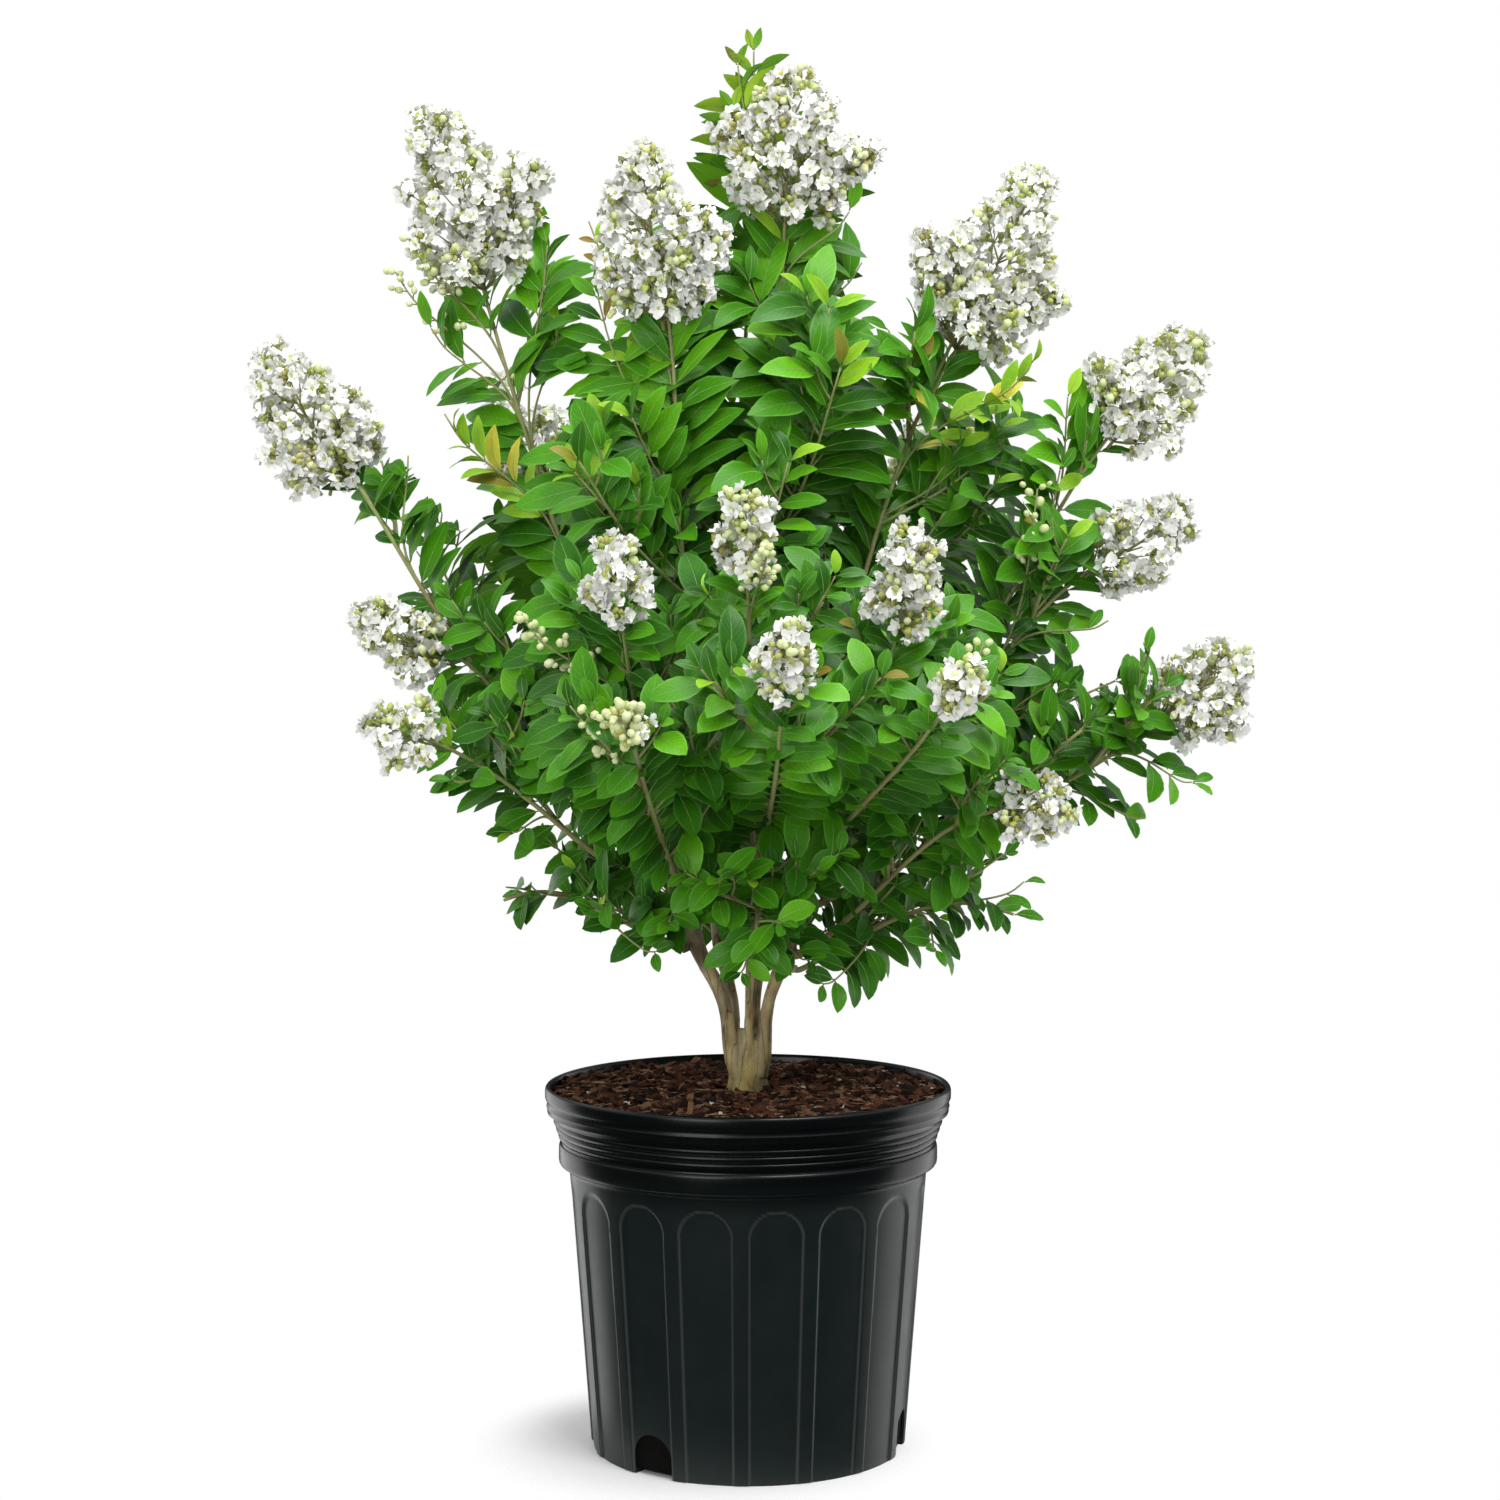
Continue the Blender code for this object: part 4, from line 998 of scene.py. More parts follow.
def soilLook():
    # red-brown on top and nearly black below as painted shade, where it shows through the drain holes
    material = newMaterial("pottingSoil", {
        "colour": (0.045, 0.021, 0.012), "drift": (0.020, 0.010, 0.006), "roughness": 0.95,
        "patch": 120.0, "grain": 700.0, "speckle": 0.8, "relief": 0.0012, "bump": 1.0, "specular": 0.1,
    })
    nodes, links = material.node_tree.nodes, material.node_tree.links
    height = nodes.new("ShaderNodeSeparateXYZ")
    links.new(nodes.new("ShaderNodeTexCoord").outputs["Object"], height.inputs["Vector"])
    # deeper than the collar the soil goes nearly black: painted shade inside the pot
    below = nodes.new("ShaderNodeMapRange")
    below.inputs["From Min"].default_value = 0.232
    below.inputs["From Max"].default_value = 0.215
    links.new(height.outputs["Z"], below.inputs["Value"])
    links.new(
        mixNode(nodes, links, "MIX", below.outputs["Result"], colourSource(material), (0.0035, 0.003, 0.0025)),
        nodes["Principled BSDF"].inputs["Base Color"],
    )
    return material


def makeSoil(plan):
    profile = [(plan["radius"] * i / plan["rings"], 0.0) for i in range(plan["rings"] + 1)]
    profile = [(radius, soilLevel(radius)) for radius, _ in profile]
    profile += [*plan["side"], (0.0, plan["side"][-1][1])]
    piece = spinPiece(profilePiece("soil_bed", profile), plan["steps"])
    points = pointsOf(piece.data)
    top = points[:, 2] > plan["edge"] - 0.001
    for row in np.flatnonzero(top):
        x, y, _ = points[row]
        points[row, 2] += plan["bump"] * noise.noise(Vector((x * 70, y * 70, 0.3)))
        points[row, 2] += plan["bump"] * 0.7 * noise.noise(Vector((x * 240, y * 240, 4.1)))
    setPoints(piece.data, points)
    piece.data.shade_smooth()
    piece.data.materials.clear()
    piece.data.materials.append(soilLook())
    finishPiece(piece, ["soil"])


def chipArrays(rng):
    # a shard of bark: a long box with every corner moved
    length, width, depth = rng.uniform(0.005, 0.018), rng.uniform(0.0016, 0.0056), rng.uniform(0.0009, 0.0024)
    corners = np.array([
        (x, y, z) for x in (-0.5, 0.0, 0.5) for y in (-0.5, 0.5) for z in (-0.5, 0.5)
    ], float)
    corners[:, 1] *= 1 - 0.5 * np.abs(corners[:, 0]) * rng.random() * 1.6
    corners[:, 2] += 0.5 * (corners[:, 0] ** 2) * rng.uniform(-2.5, 2.5)
    corners += np.array([[rng.uniform(-0.12, 0.12) for _ in range(3)] for _ in corners])
    corners *= (length, width, depth)
    faces = [(0, 1, 3, 2), (8, 10, 11, 9)]
    for row in (0, 4):
        faces += [
            (row, row + 4, row + 5, row + 1), (row + 2, row + 3, row + 7, row + 6),
            (row, row + 2, row + 6, row + 4), (row + 1, row + 5, row + 7, row + 3),
        ]
    return corners, faces


def spotOnSoil(rng):
    while True:
        radius = (soilPlan["radius"] - 0.004) * math.sqrt(rng.random())
        if radius > soilPlan["stemRoom"]:
            turn = rng.uniform(0, math.tau)
            return radius * math.cos(turn), radius * math.sin(turn), soilLevel(radius)


def makeChips(plan):
    tints = [
        ("bark_chips_red", (0.100, 0.038, 0.018), (0.056, 0.021, 0.011)),
        ("bark_chips_dark", (0.024, 0.010, 0.006), (0.012, 0.006, 0.004)),
        ("bark_chips_tan", (0.21, 0.115, 0.062), (0.13, 0.066, 0.036)),
    ]
    rng = random.Random(plan["seed"])
    heaps = {name: [] for name, *_ in tints}
    for _ in range(plan["chips"]):
        points, faces = chipArrays(rng)
        x, y, z = spotOnSoil(rng)
        turn = Matrix.Rotation(rng.uniform(0, math.tau), 3, "Z")
        turn = turn @ Matrix.Rotation(rng.gauss(0, 0.32), 3, "X") @ Matrix.Rotation(rng.gauss(0, 0.28), 3, "Y")
        place = np.array((x, y, z + rng.uniform(0.0002, 0.0038)))
        name = rng.choices([t[0] for t in tints], (0.50, 0.36, 0.14))[0]
        heaps[name].append((points @ np.array(turn).T + place, faces))
    for name, colour, drift in tints:
        material = newMaterial(name, {
            "colour": colour, "drift": drift, "roughness": 0.88, "patch": 90.0, "grain": 900.0,
            "speckle": 0.6, "relief": 0.0006, "bump": 0.8, "specular": 0.12,
        })
        finishPiece(joinedMesh(name, heaps[name], material, smooth=False))


def makeLitter(plan):
    rng = random.Random(plan["seed"] + 1)
    straws, grains = [], []
    for _ in range(plan["straws"]):
        x, y, z = spotOnSoil(rng)
        way = Vector((rng.uniform(-1, 1), rng.uniform(-1, 1), 0)).normalized()
        bend = Vector((-way.y, way.x, 0)) * rng.uniform(-0.5, 0.5)
        length = rng.uniform(0.012, 0.048)
        middle = Vector((x, y, z + 0.0034))
        path = [middle + way * length * t + bend * length * t * t for t in np.linspace(-0.5, 0.5, 6)]
        path = [p for p in path if math.hypot(p.x, p.y) < plan["radius"] - 0.003]
        if len(path) > 3:
            girth = rng.choice((0.0003, 0.0004, 0.0005))
            straws.append(tubeArrays(path, (girth, girth * 0.6), 4))
    for _ in range(plan["grains"]):
        points, faces = chipArrays(rng)
        points *= np.array((0.0028, 0.0026, 0.0024)) / np.ptp(points, axis=0)
        x, y, z = spotOnSoil(rng)
        grains.append((points + np.array((x, y, z + 0.0036)), faces))
    straw = newMaterial("dryStraw", {
        "colour": (0.42, 0.25, 0.14), "drift": (0.26, 0.13, 0.07), "roughness": 0.7, "speckle": 0.3,
    })
    grain = newMaterial("whiteGrain", {"colour": (0.72, 0.70, 0.66), "roughness": 0.9, "speckle": 0.3})
    finishPiece(joinedMesh("straws", straws, straw))
    finishPiece(joinedMesh("white_grains", grains, grain, smooth=False))


print("soil")
makeSoil(soilPlan)
makeChips(soilPlan)
makeLitter(soilPlan)


# green twigs: leaders, side shoots and finer twigs, joined

def makeTwigs():
    parts = []
    for mass in leaders:
        leader, *sides = shoots[mass]
        parts.append(tubeArrays(smoothPath(leader, 4), limbPlan["leaderRadii"], 7))
        parts += [tubeArrays(smoothPath(side, 5), limbPlan["shootRadii"], 6) for side in sides]
        parts += [tubeArrays(smoothPath(twig, 4), limbPlan["twigRadii"], 5) for twig in twigs[mass]]
    parts += [tubeArrays(smoothPath(spur, 4), limbPlan["twigRadii"], 5) for spur in spurs]
    parts += [tubeArrays(smoothPath(path, 3), limbPlan["twigRadii"], 5) for path, _, _ in extras]
    material = newMaterial("greenTwig", {
        "colour": (0.32, 0.40, 0.14), "drift": (0.32, 0.27, 0.11), "roughness": 0.55, "patch": 14.0,
        "grain": 500.0, "speckle": 0.25,
    })
    piece = joinedMesh("twigs", parts, material)
    finishPiece(piece, list(massPlan))


print("twigs")
makeTwigs()


# leaves: opposite pairs, folded on their midribs, in a few plain greens dealt out by twig

leafPlan = {
    "seed": 5,
    "stations": (0.0, 0.10, 0.26, 0.44, 0.62, 0.79, 0.92, 1.0),
    "columns": (-1.0, -0.5, 0.0, 0.5, 1.0),
    "spacings": (0.0160, 0.0158, 0.0160, 0.0155),
    "firstNode": 0.012,
    "heights": (0.32, 0.45, 0.62, 0.80),
    "lengths": (0.034, 0.037, 0.047, 0.066),
    "widths": (0.54, 0.52, 0.46, 0.39),
    "blunt": (1.0, 0.9, 0.5, 0.0),
    "spreads": (60, 57, 54, 53),
    "sway": 13,
    "droop": (-0.05, 0.30),
    "outwards": (1.5, 1.3, 1.0, 0.9),
    "sideTurn": 0.9,
    "backFrom": 0.06,
    "roll": 0.4,
    "fold": (0.10, 0.42),
    "arch": (0.03, 0.11),
    "tipFall": (0.04, 0.20),
    "ripple": (0.01, 0.07),
    "petiole": 0.05,
    "kindScale": {"young": 0.62, "bronze": 0.34, "buds": 0.45, "plain": 0.90, "crest": 0.56},
    "kindSpread": {"young": 38, "bronze": 44, "crest": 46},
    "lowest": 0.262,
    "past": 0.012,
    "tries": 4,
    "midrib": 0.00085,
    "youngTips": 0.20,
}

leafTints = {
    "leaves_bright": ((0.120, 0.400, 0.005), (0.078, 0.310, 0.003)),
    "leaves_mid": ((0.066, 0.275, 0.004), (0.040, 0.200, 0.003)),
    "leaves_deep": ((0.034, 0.170, 0.005), (0.018, 0.105, 0.003)),
    "leaves_young": ((0.29, 0.55, 0.020), (0.20, 0.45, 0.014)),
    "leaves_bronze": ((0.22, 0.25, 0.025), (0.26, 0.15, 0.025)),
    "leaves_yellow": ((0.66, 0.62, 0.06), (0.52, 0.54, 0.05)),
}


def leafTemplate():
    # one point at each end, and a row of columns at each station between them
    stations, columns = leafPlan["stations"], leafPlan["columns"]
    spots = [(0.0, 0.0)]
    spots += [(u, v) for u in stations[1:-1] for v in columns]
    spots.append((1.0, 0.0))
    count = len(columns)
    rows = len(stations) - 2
    faces = [(0, 1 + c, 2 + c) for c in range(count - 1)]
    for row in range(rows - 1):
        for c in range(count - 1):
            here = 1 + row * count + c
            faces.append((here, here + count, here + count + 1, here + 1))
    last, tip = 1 + (rows - 1) * count, 1 + rows * count
    faces += [(last + c, tip, last + c + 1) for c in range(count - 1)]
    return np.array(spots), faces


def halfWidth(u, blunt):
    # pointed above, blunter and widest past the middle in the lower crown
    return np.sin(math.pi * np.clip(u, 0, 1) ** (0.93 + 0.21 * blunt)) ** (0.82 - 0.16 * blunt)


leafSpots, leafFaces = leafTemplate()


def leafHeight(leaf, u, across):
    # how far the blade stands off its own plane, in leaf lengths
    side = np.abs(across)
    fold = leaf["fold"] * side * 0.5
    arch = leaf["arch"] * 4 * u * (1 - u)
    fall = leaf["fall"] * u ** 2.2
    ripple = leaf["ripple"] * side * np.sin(u * 17 + leaf["phase"])
    return fold + arch - fall + ripple


def bladePoints(leaf):
    u, v = leafSpots[:, 0], leafSpots[:, 1]
    half = halfWidth(u, leaf["blunt"]) * leaf["width"] / 2
    across = v * half
    lift = leafHeight(leaf, u, across / leaf["length"])
    bow = leaf["bow"] * u * (1 - u) * 4 * leaf["length"]
    local = np.stack([u * leaf["length"], across + bow, lift * leaf["length"]], axis=1)
    return leaf["root"] + local @ leaf["axes"]


def midribArrays(leaf):
    # a three-sided rib from the twig through the blade
    stalk = leafPlan["petiole"]
    u = np.array([-stalk, *leafPlan["stations"][1:-1]])
    size = leafPlan["midrib"] * (1.1 - 0.95 * np.clip(u, 0, 1))
    inBlade = np.clip(u, 0, 1)
    lift = leafHeight(leaf, inBlade, 0.0) * leaf["length"]
    bow = leaf["bow"] * inBlade * (1 - inBlade) * 4 * leaf["length"]
    centre = np.stack([u * leaf["length"], bow, lift], axis=1)
    corners = [(0.0, 0.55), (-0.6, -0.45), (0.6, -0.45)]
    points = np.concatenate([
        [middle + np.array((0, a * s, b * s)) for a, b in corners] for middle, s in zip(centre, size)
    ])
    faces = [
        (3 * r + c, 3 * r + (c + 1) % 3, 3 * r + 3 + (c + 1) % 3, 3 * r + 3 + c)
        for r in range(len(u) - 1) for c in range(3)
    ]
    last = 3 * len(u) - 3
    faces += [(2, 1, 0), (last, last + 1, last + 2)]
    return leaf["root"] + points @ leaf["axes"], faces


def massFacing(mass):
    facing = {"top": Vector((0.2, -1, 0)), "crest": Vector((-0.3, 1, 0)), "upper_middle": Vector((-0.3, -1, 0))}
    if mass in facing:
        return facing[mass].normalized()
    return Vector((massPlan[mass][2][0], massPlan[mass][2][1], 0)).normalized() if mass else Vector((0, -1, 0))


def leafFacing(node, mass):
    # up and outward, and on the crown's sides turned to the front or the back as well
    outward = (Vector((node.x, node.y, 0)) + massFacing(mass) * 0.05).normalized()
    frontOrBack = Vector((0, 1 if node.y > leafPlan["backFrom"] else -1, 0))
    facing = upward + outward * np.interp(node.z, leafPlan["heights"], leafPlan["outwards"])
    return outward, (facing + frontOrBack * abs(outward.x) * leafPlan["sideTurn"]).normalized()


def leafTint(rng, node, share, kind, mood):
    # bright above and at the crown's outside, deep in the lower and inner crown, which is painted light and painted
    # shade over a random spread of tone; young at the tips
    if kind == "young" and rng.random() < 0.12:
        return "leaves_yellow"
    if kind in ("young", "bronze"):
        return "leaves_young" if rng.random() < (0.92 if kind == "young" else 0.3) else "leaves_bronze"
    if kind == "crest":
        return rng.choices(("leaves_young", "leaves_bright", "leaves_bronze"), (0.50, 0.40, 0.10))[0]
    if share > 0.86 and rng.random() < leafPlan["youngTips"] * (0.4 if node.z < 0.6 else 1.0):
        return "leaves_young" if rng.random() < 0.82 else "leaves_bronze"
    # height and distance from the axis set the green's brightness: painted light on the upper and outer leaves,
    # painted shade on the lower and inner ones
    brightness = np.interp(node.z, (0.32, 0.45, 0.60, 0.75, 0.90), (0.30, 0.22, 0.20, 0.55, 0.72))
    brightness += 0.25 * (math.hypot(node.x, node.y) / 0.25 - 0.6) + rng.gauss(0, 0.22) + (mood - 0.5) * 0.4
    if brightness > 0.60:
        return "leaves_bright"
    return "leaves_mid" if brightness > 0.16 else "leaves_deep"


def leafyPaths():
    # path, mass, leaf scale, length left bare at the end, and kind
    for mass, paths in shoots.items():
        for number, path in enumerate(paths):
            bloom = massPlan[mass][4]
            bare = bloom[0] * limbPlan["bloomSink"] if bloom and number == 0 else 0.0
            yield path, mass, 1.0, bare, "leader" if number == 0 else "plain"
        yield from ((path, mass, 0.84, 0.0, "plain") for path in twigs[mass])
    yield from ((path, None, 0.80, 0.0, "plain") for path in spurs)
    yield from ((path, mass, leafPlan["kindScale"][kind], 0.0, kind) for path, mass, kind in extras)


def inReach(samples):
    low, high = samples.min(axis=0), samples.max(axis=0)
    past = leafPlan["past"]
    return (
        low[2] > leafPlan["lowest"] and high[2] < cadBox[1].z
        and (low[:2] > np.array(cadBox[0])[:2] - past).all()
        and (high[:2] < np.array(cadBox[1])[:2] + past).all()
    )


def tryLeaf(rng, mass, node, heading, facing, outward, size):
    # a leaf that keeps inside the crown and clear of blooms and limbs, or nothing
    tilt = upward.cross(outward) * rng.uniform(-1, 1) * leafPlan["roll"]
    across = (facing + tilt).cross(heading).normalized()
    root = node + heading * (leafPlan["petiole"] * size + 0.0008)
    tip = root + heading * size
    samples = np.array([
        root.lerp(tip, 0.35), root.lerp(tip, 0.7), tip,
        root.lerp(tip, 0.5) + across * size * 0.2, root.lerp(tip, 0.5) - across * size * 0.2,
    ])
    if hidesSky(samples) or not inReach(samples):
        return None
    if not (clearOfBlooms(mass, samples, 0.8) and clearOfLimbs(samples, 0.0006)):
        return None
    width = np.interp(node.z, leafPlan["heights"], leafPlan["widths"])
    return {
        "root": np.array(root),
        "axes": np.array([heading, across, heading.cross(across)]),
        "length": size,
        "width": size * width * rng.uniform(0.9, 1.1),
        "blunt": np.interp(node.z, leafPlan["heights"], leafPlan["blunt"]),
        "fold": rng.uniform(*leafPlan["fold"]),
        "arch": rng.uniform(*leafPlan["arch"]),
        "fall": rng.uniform(*leafPlan["tipFall"]),
        "ripple": rng.uniform(*leafPlan["ripple"]),
        "bow": rng.uniform(-0.035, 0.035),
        "phase": rng.uniform(0, math.tau),
    }


def growLeaves():
    rng = random.Random(leafPlan["seed"])
    leaves = {name: [] for name in leafTints}
    for path, mass, scale, bare, kind in leafyPaths():
        whole = pathLengths(path)[-1]
        first = leafPlan["firstNode"]
        end = whole - bare
        if kind == "buds":
            end = whole * 0.5
        spacing = np.interp(path[1].z, leafPlan["heights"], leafPlan["spacings"])
        pairs = max(2, round((end - first) / spacing))
        mood = rng.random()
        for pair in range(pairs):
            share = (pair + 1) / pairs
            node, turnFrame = pointAlong(path, min(first + (end - first) * share, whole * 0.999))
            onward = turnFrame.col[2]
            outward, facing = leafFacing(node, mass)
            sideways = onward.cross(facing).normalized()
            young = min(1.0, 0.62 + 0.9 * (1 - share)) if kind == "leader" else min(1.0, 0.45 + 1.1 * (1 - share))
            length = np.interp(node.z, leafPlan["heights"], leafPlan["lengths"])
            length *= scale * young * min(1.0, 0.78 + 0.5 * share)
            for hand in (-1, 1):
                for attempt in range(leafPlan["tries"]):
                    size = length * rng.uniform(0.88, 1.12) * (1 - 0.12 * attempt)
                    spread = leafPlan["kindSpread"].get(kind)
                    spread = spread or np.interp(node.z, leafPlan["heights"], leafPlan["spreads"])
                    spread *= 1 - 0.45 * max(0.0, share - 0.75) / 0.25
                    angle = math.radians(spread + rng.uniform(-1, 1) * leafPlan["sway"])
                    heading = onward * math.cos(angle) + sideways * hand * math.sin(angle)
                    heading = (heading - upward * rng.uniform(*leafPlan["droop"])).normalized()
                    leaf = tryLeaf(rng, mass, node, heading, facing, outward, size)
                    if leaf:
                        leaves[leafTint(rng, node, share, kind, mood)].append(leaf)
                        break
    return leaves


def leafLook(name, colour, drift):
    material = newMaterial(name, {
        "colour": colour, "drift": drift, "roughness": 0.40, "patch": 34.0, "grain": 420.0,
        "speckle": 0.16, "relief": 0.0002, "bump": 0.25, "specular": 0.26,
    })
    nodes, links = material.node_tree.nodes, material.node_tree.links
    shader = nodes["Principled BSDF"]
    blade = nodes.new("ShaderNodeUVMap")
    blade.uv_map = "blade"
    split = nodes.new("ShaderNodeSeparateXYZ")
    links.new(blade.outputs["UV"], split.inputs["Vector"])
    side = nodes.new("ShaderNodeMath")
    side.operation = "ABSOLUTE"
    links.new(split.outputs["Y"], side.inputs[0])
    slant = nodes.new("ShaderNodeMath")
    slant.operation = "MULTIPLY_ADD"
    slant.inputs[1].default_value = -0.30
    links.new(side.outputs[0], slant.inputs[0])
    links.new(split.outputs["X"], slant.inputs[2])
    wave = nodes.new("ShaderNodeMath")
    wave.operation = "SINE"
    beat = nodes.new("ShaderNodeMath")
    beat.operation = "MULTIPLY"
    beat.inputs[1].default_value = 58.0
    links.new(slant.outputs[0], beat.inputs[0])
    links.new(beat.outputs[0], wave.inputs[0])
    veins = rampNode(nodes, links, wave.outputs[0], [(0.80, (0.0,) * 3), (1.0, (1.0,) * 3)])
    pale = tuple(min(1.0, c * 1.5 + 0.03) for c in colour)
    strength = nodes.new("ShaderNodeMath")
    strength.operation = "MULTIPLY"
    strength.inputs[1].default_value = 0.30
    links.new(veins.outputs["Color"], strength.inputs[0])
    veined = mixNode(nodes, links, "MIX", strength.outputs[0], colourSource(material), pale)
    # a paler band along the blade's margin: a painted highlight
    paintedEdgeLight = nodes.new("ShaderNodeMapRange")
    paintedEdgeLight.inputs["From Min"].default_value = 0.80
    paintedEdgeLight.inputs["From Max"].default_value = 0.98
    paintedEdgeLight.inputs["To Max"].default_value = 0.55
    links.new(side.outputs[0], paintedEdgeLight.inputs["Value"])
    edge = tuple(c * 1.2 + add for c, add in zip(colour, (0.09, 0.10, 0.06)))
    withEdgeLight = mixNode(nodes, links, "MIX", paintedEdgeLight.outputs["Result"], veined, edge)
    under = tuple(c * share + add for c, share, add in zip(colour, (1.0, 0.86, 1.0), (0.024, 0.040, 0.008)))
    back = nodes.new("ShaderNodeNewGeometry").outputs["Backfacing"]
    links.new(mixNode(nodes, links, "MIX", back, withEdgeLight, under), shader.inputs["Base Color"])
    return material


def makeLeaves():
    leaves = growLeaves()
    print("  leaves in all:", sum(map(len, leaves.values())))
    for name, rows in leaves.items():
        if not rows:
            continue
        piece = joinedMesh(name, [(bladePoints(leaf), leafFaces) for leaf in rows], leafLook(name, *leafTints[name]))
        layer = piece.data.uv_layers.new(name="blade")
        corners = np.array([corner for face in leafFaces for corner in face])
        spots = leafSpots[corners]
        layer.data.foreach_set("uv", np.tile(spots.astype(np.float32), (len(rows), 1)).ravel())
        finishPiece(piece)
    ribs = newMaterial("midrib", {
        "colour": (0.26, 0.42, 0.10), "drift": (0.20, 0.35, 0.08), "roughness": 0.5, "speckle": 0.1,
    })
    everyLeaf = [leaf for rows in leaves.values() for leaf in rows]
    half = len(everyLeaf) // 2
    for name, some in (("midribs_upper", everyLeaf[:half]), ("midribs_lower", everyLeaf[half:])):
        finishPiece(joinedMesh(name, [midribArrays(leaf) for leaf in some], ribs))


print("leaves")
makeLeaves()


# blossom: panicles built from sprays of small crinkled flowers, with buds and green cups among them

bloomPlan = {
    "seed": 12,
    "sprayPitch": 0.0205,
    "sprayRadius": (0.0070, 0.0118),
    "sprayFlowers": (6, 8),
    "shapeAt": (0.0, 0.22, 0.60, 1.0),
    "shape": (0.62, 1.0, 0.74, 0.22),
    "uneven": 0.26,
    "petalLength": 0.0050,
    "petalWidth": 0.0060,
    "claw": 0.0016,
    "crinkle": 0.0018,
    "cup": 28,
    "seenThrough": 0.05,
    "templates": 8,
    "budShare": 0.10,
    "nudge": {"right_lowest": (-0.006, 0, 0.006), "right_middle": (-0.007, 0, 0.001)},
    "halfBud": {"front_middle": 0.30, "front_low_right": 0.5, "front_low": 0.2, "front_low_left": 1.0},
}

# mass, share of its bloom, tip, length and width of the side lobe
lobePlan = [
    ("upper_left", 0.15, (-0.137, -0.050, 0.886), (0.088, 0.066)),
    ("top", 0.30, (-0.025, 0.040, 0.926), (0.052, 0.042)),
    ("top", 0.22, (0.093, -0.030, 0.896), (0.066, 0.054)),
    ("upper_right", 0.10, (0.117, -0.040, 0.840), (0.076, 0.060)),
    ("upper_right", 0.12, (0.220, -0.030, 0.799), (0.060, 0.048)),
    ("upper_middle", 0.08, (-0.016, -0.110, 0.838), (0.066, 0.060)),
    ("left", 0.10, (-0.269, -0.040, 0.728), (0.064, 0.052)),
    ("right", 0.12, (0.232, -0.040, 0.755), (0.062, 0.054)),
    ("right_low", 0.12, (0.346, -0.020, 0.500), (0.046, 0.044)),
]


def petalArrays(rng, azimuth):
    # a narrow claw that widens to a crinkled round blade
    points = [(0.0004, 0.0, 0.0)]
    for share in (0.0, 0.5, 1.0):
        half = bloomPlan["petalWidth"] / 2 * (0.55 + 0.9 * share - 0.75 * share * share)
        for across in (-1, 0, 1):
            crumple = bloomPlan["crinkle"] * (0.35 + 0.65 * share)
            points.append((
                bloomPlan["claw"] + bloomPlan["petalLength"] * share * (1 - 0.22 * abs(across))
                + rng.uniform(-0.4, 0.4) * crumple,
                half * across + rng.uniform(-0.4, 0.4) * crumple,
                rng.uniform(-1, 1) * crumple,
            ))
    faces = [(0, 1, 2), (0, 2, 3)]
    faces += [(r + c, r + c + 3, r + c + 4, r + c + 1) for r in (1, 4) for c in (0, 1)]
    rise = math.radians(bloomPlan["cup"] + rng.uniform(-20, 24))
    turn = Matrix.Rotation(azimuth, 3, "Z") @ Matrix.Rotation(-rise, 3, "Y")
    return np.array(points) @ np.array(turn).T, faces


def flowerTemplate(rng):
    points, faces, start = [], [], 0
    for petal in range(6):
        petalPoints, petalFaces = petalArrays(rng, math.tau * petal / 6 + rng.uniform(-0.25, 0.25))
        points.append(petalPoints)
        faces += [tuple(corner + start for corner in face) for face in petalFaces]
        start += len(petalPoints)
    return np.concatenate(points), faces


def ballArrays(sides, rings):
    points = [(0, 0, -1)]
    for ring in range(rings):
        fall = math.pi * (ring + 1) / (rings + 1)
        for side in range(sides):
            turn = math.tau * side / sides
            points.append((math.sin(fall) * math.cos(turn), math.sin(fall) * math.sin(turn), -math.cos(fall)))
    points.append((0, 0, 1))
    faces = [(0, 1 + (s + 1) % sides, 1 + s) for s in range(sides)]
    for ring in range(rings - 1):
        for s in range(sides):
            a, b = 1 + ring * sides + s, 1 + ring * sides + (s + 1) % sides
            faces.append((a, b, b + sides, a + sides))
    last, top = 1 + (rings - 1) * sides, 1 + rings * sides
    faces += [(last + s, last + (s + 1) % sides, top) for s in range(sides)]
    return np.array(points, float), faces


def turnTo(way, spin=0.0):
    # turns +Z to the way given
    turn = upward.rotation_difference(way).to_matrix()
    return np.array(turn @ Matrix.Rotation(spin, 3, "Z"))


def jitter(rng, amount):
    return Vector([rng.uniform(-amount, amount) for _ in range(3)])


blossom = {"petals": [], "hearts": [], "buds": [], "stalks": [], "cups": []}
roundBall, budBall = ballArrays(5, 2), ballArrays(6, 3)


def addBall(kind, shape, place, size, way, stretch=1.0):
    points, faces = shape
    blossom[kind].append((points * (size, size, size * stretch) @ turnTo(way).T + np.array(place), faces))


def addStalk(foot, knee, tip, radii):
    blossom["stalks"].append(tubeArrays([Vector(foot), Vector(knee), Vector(tip)], radii, 3))


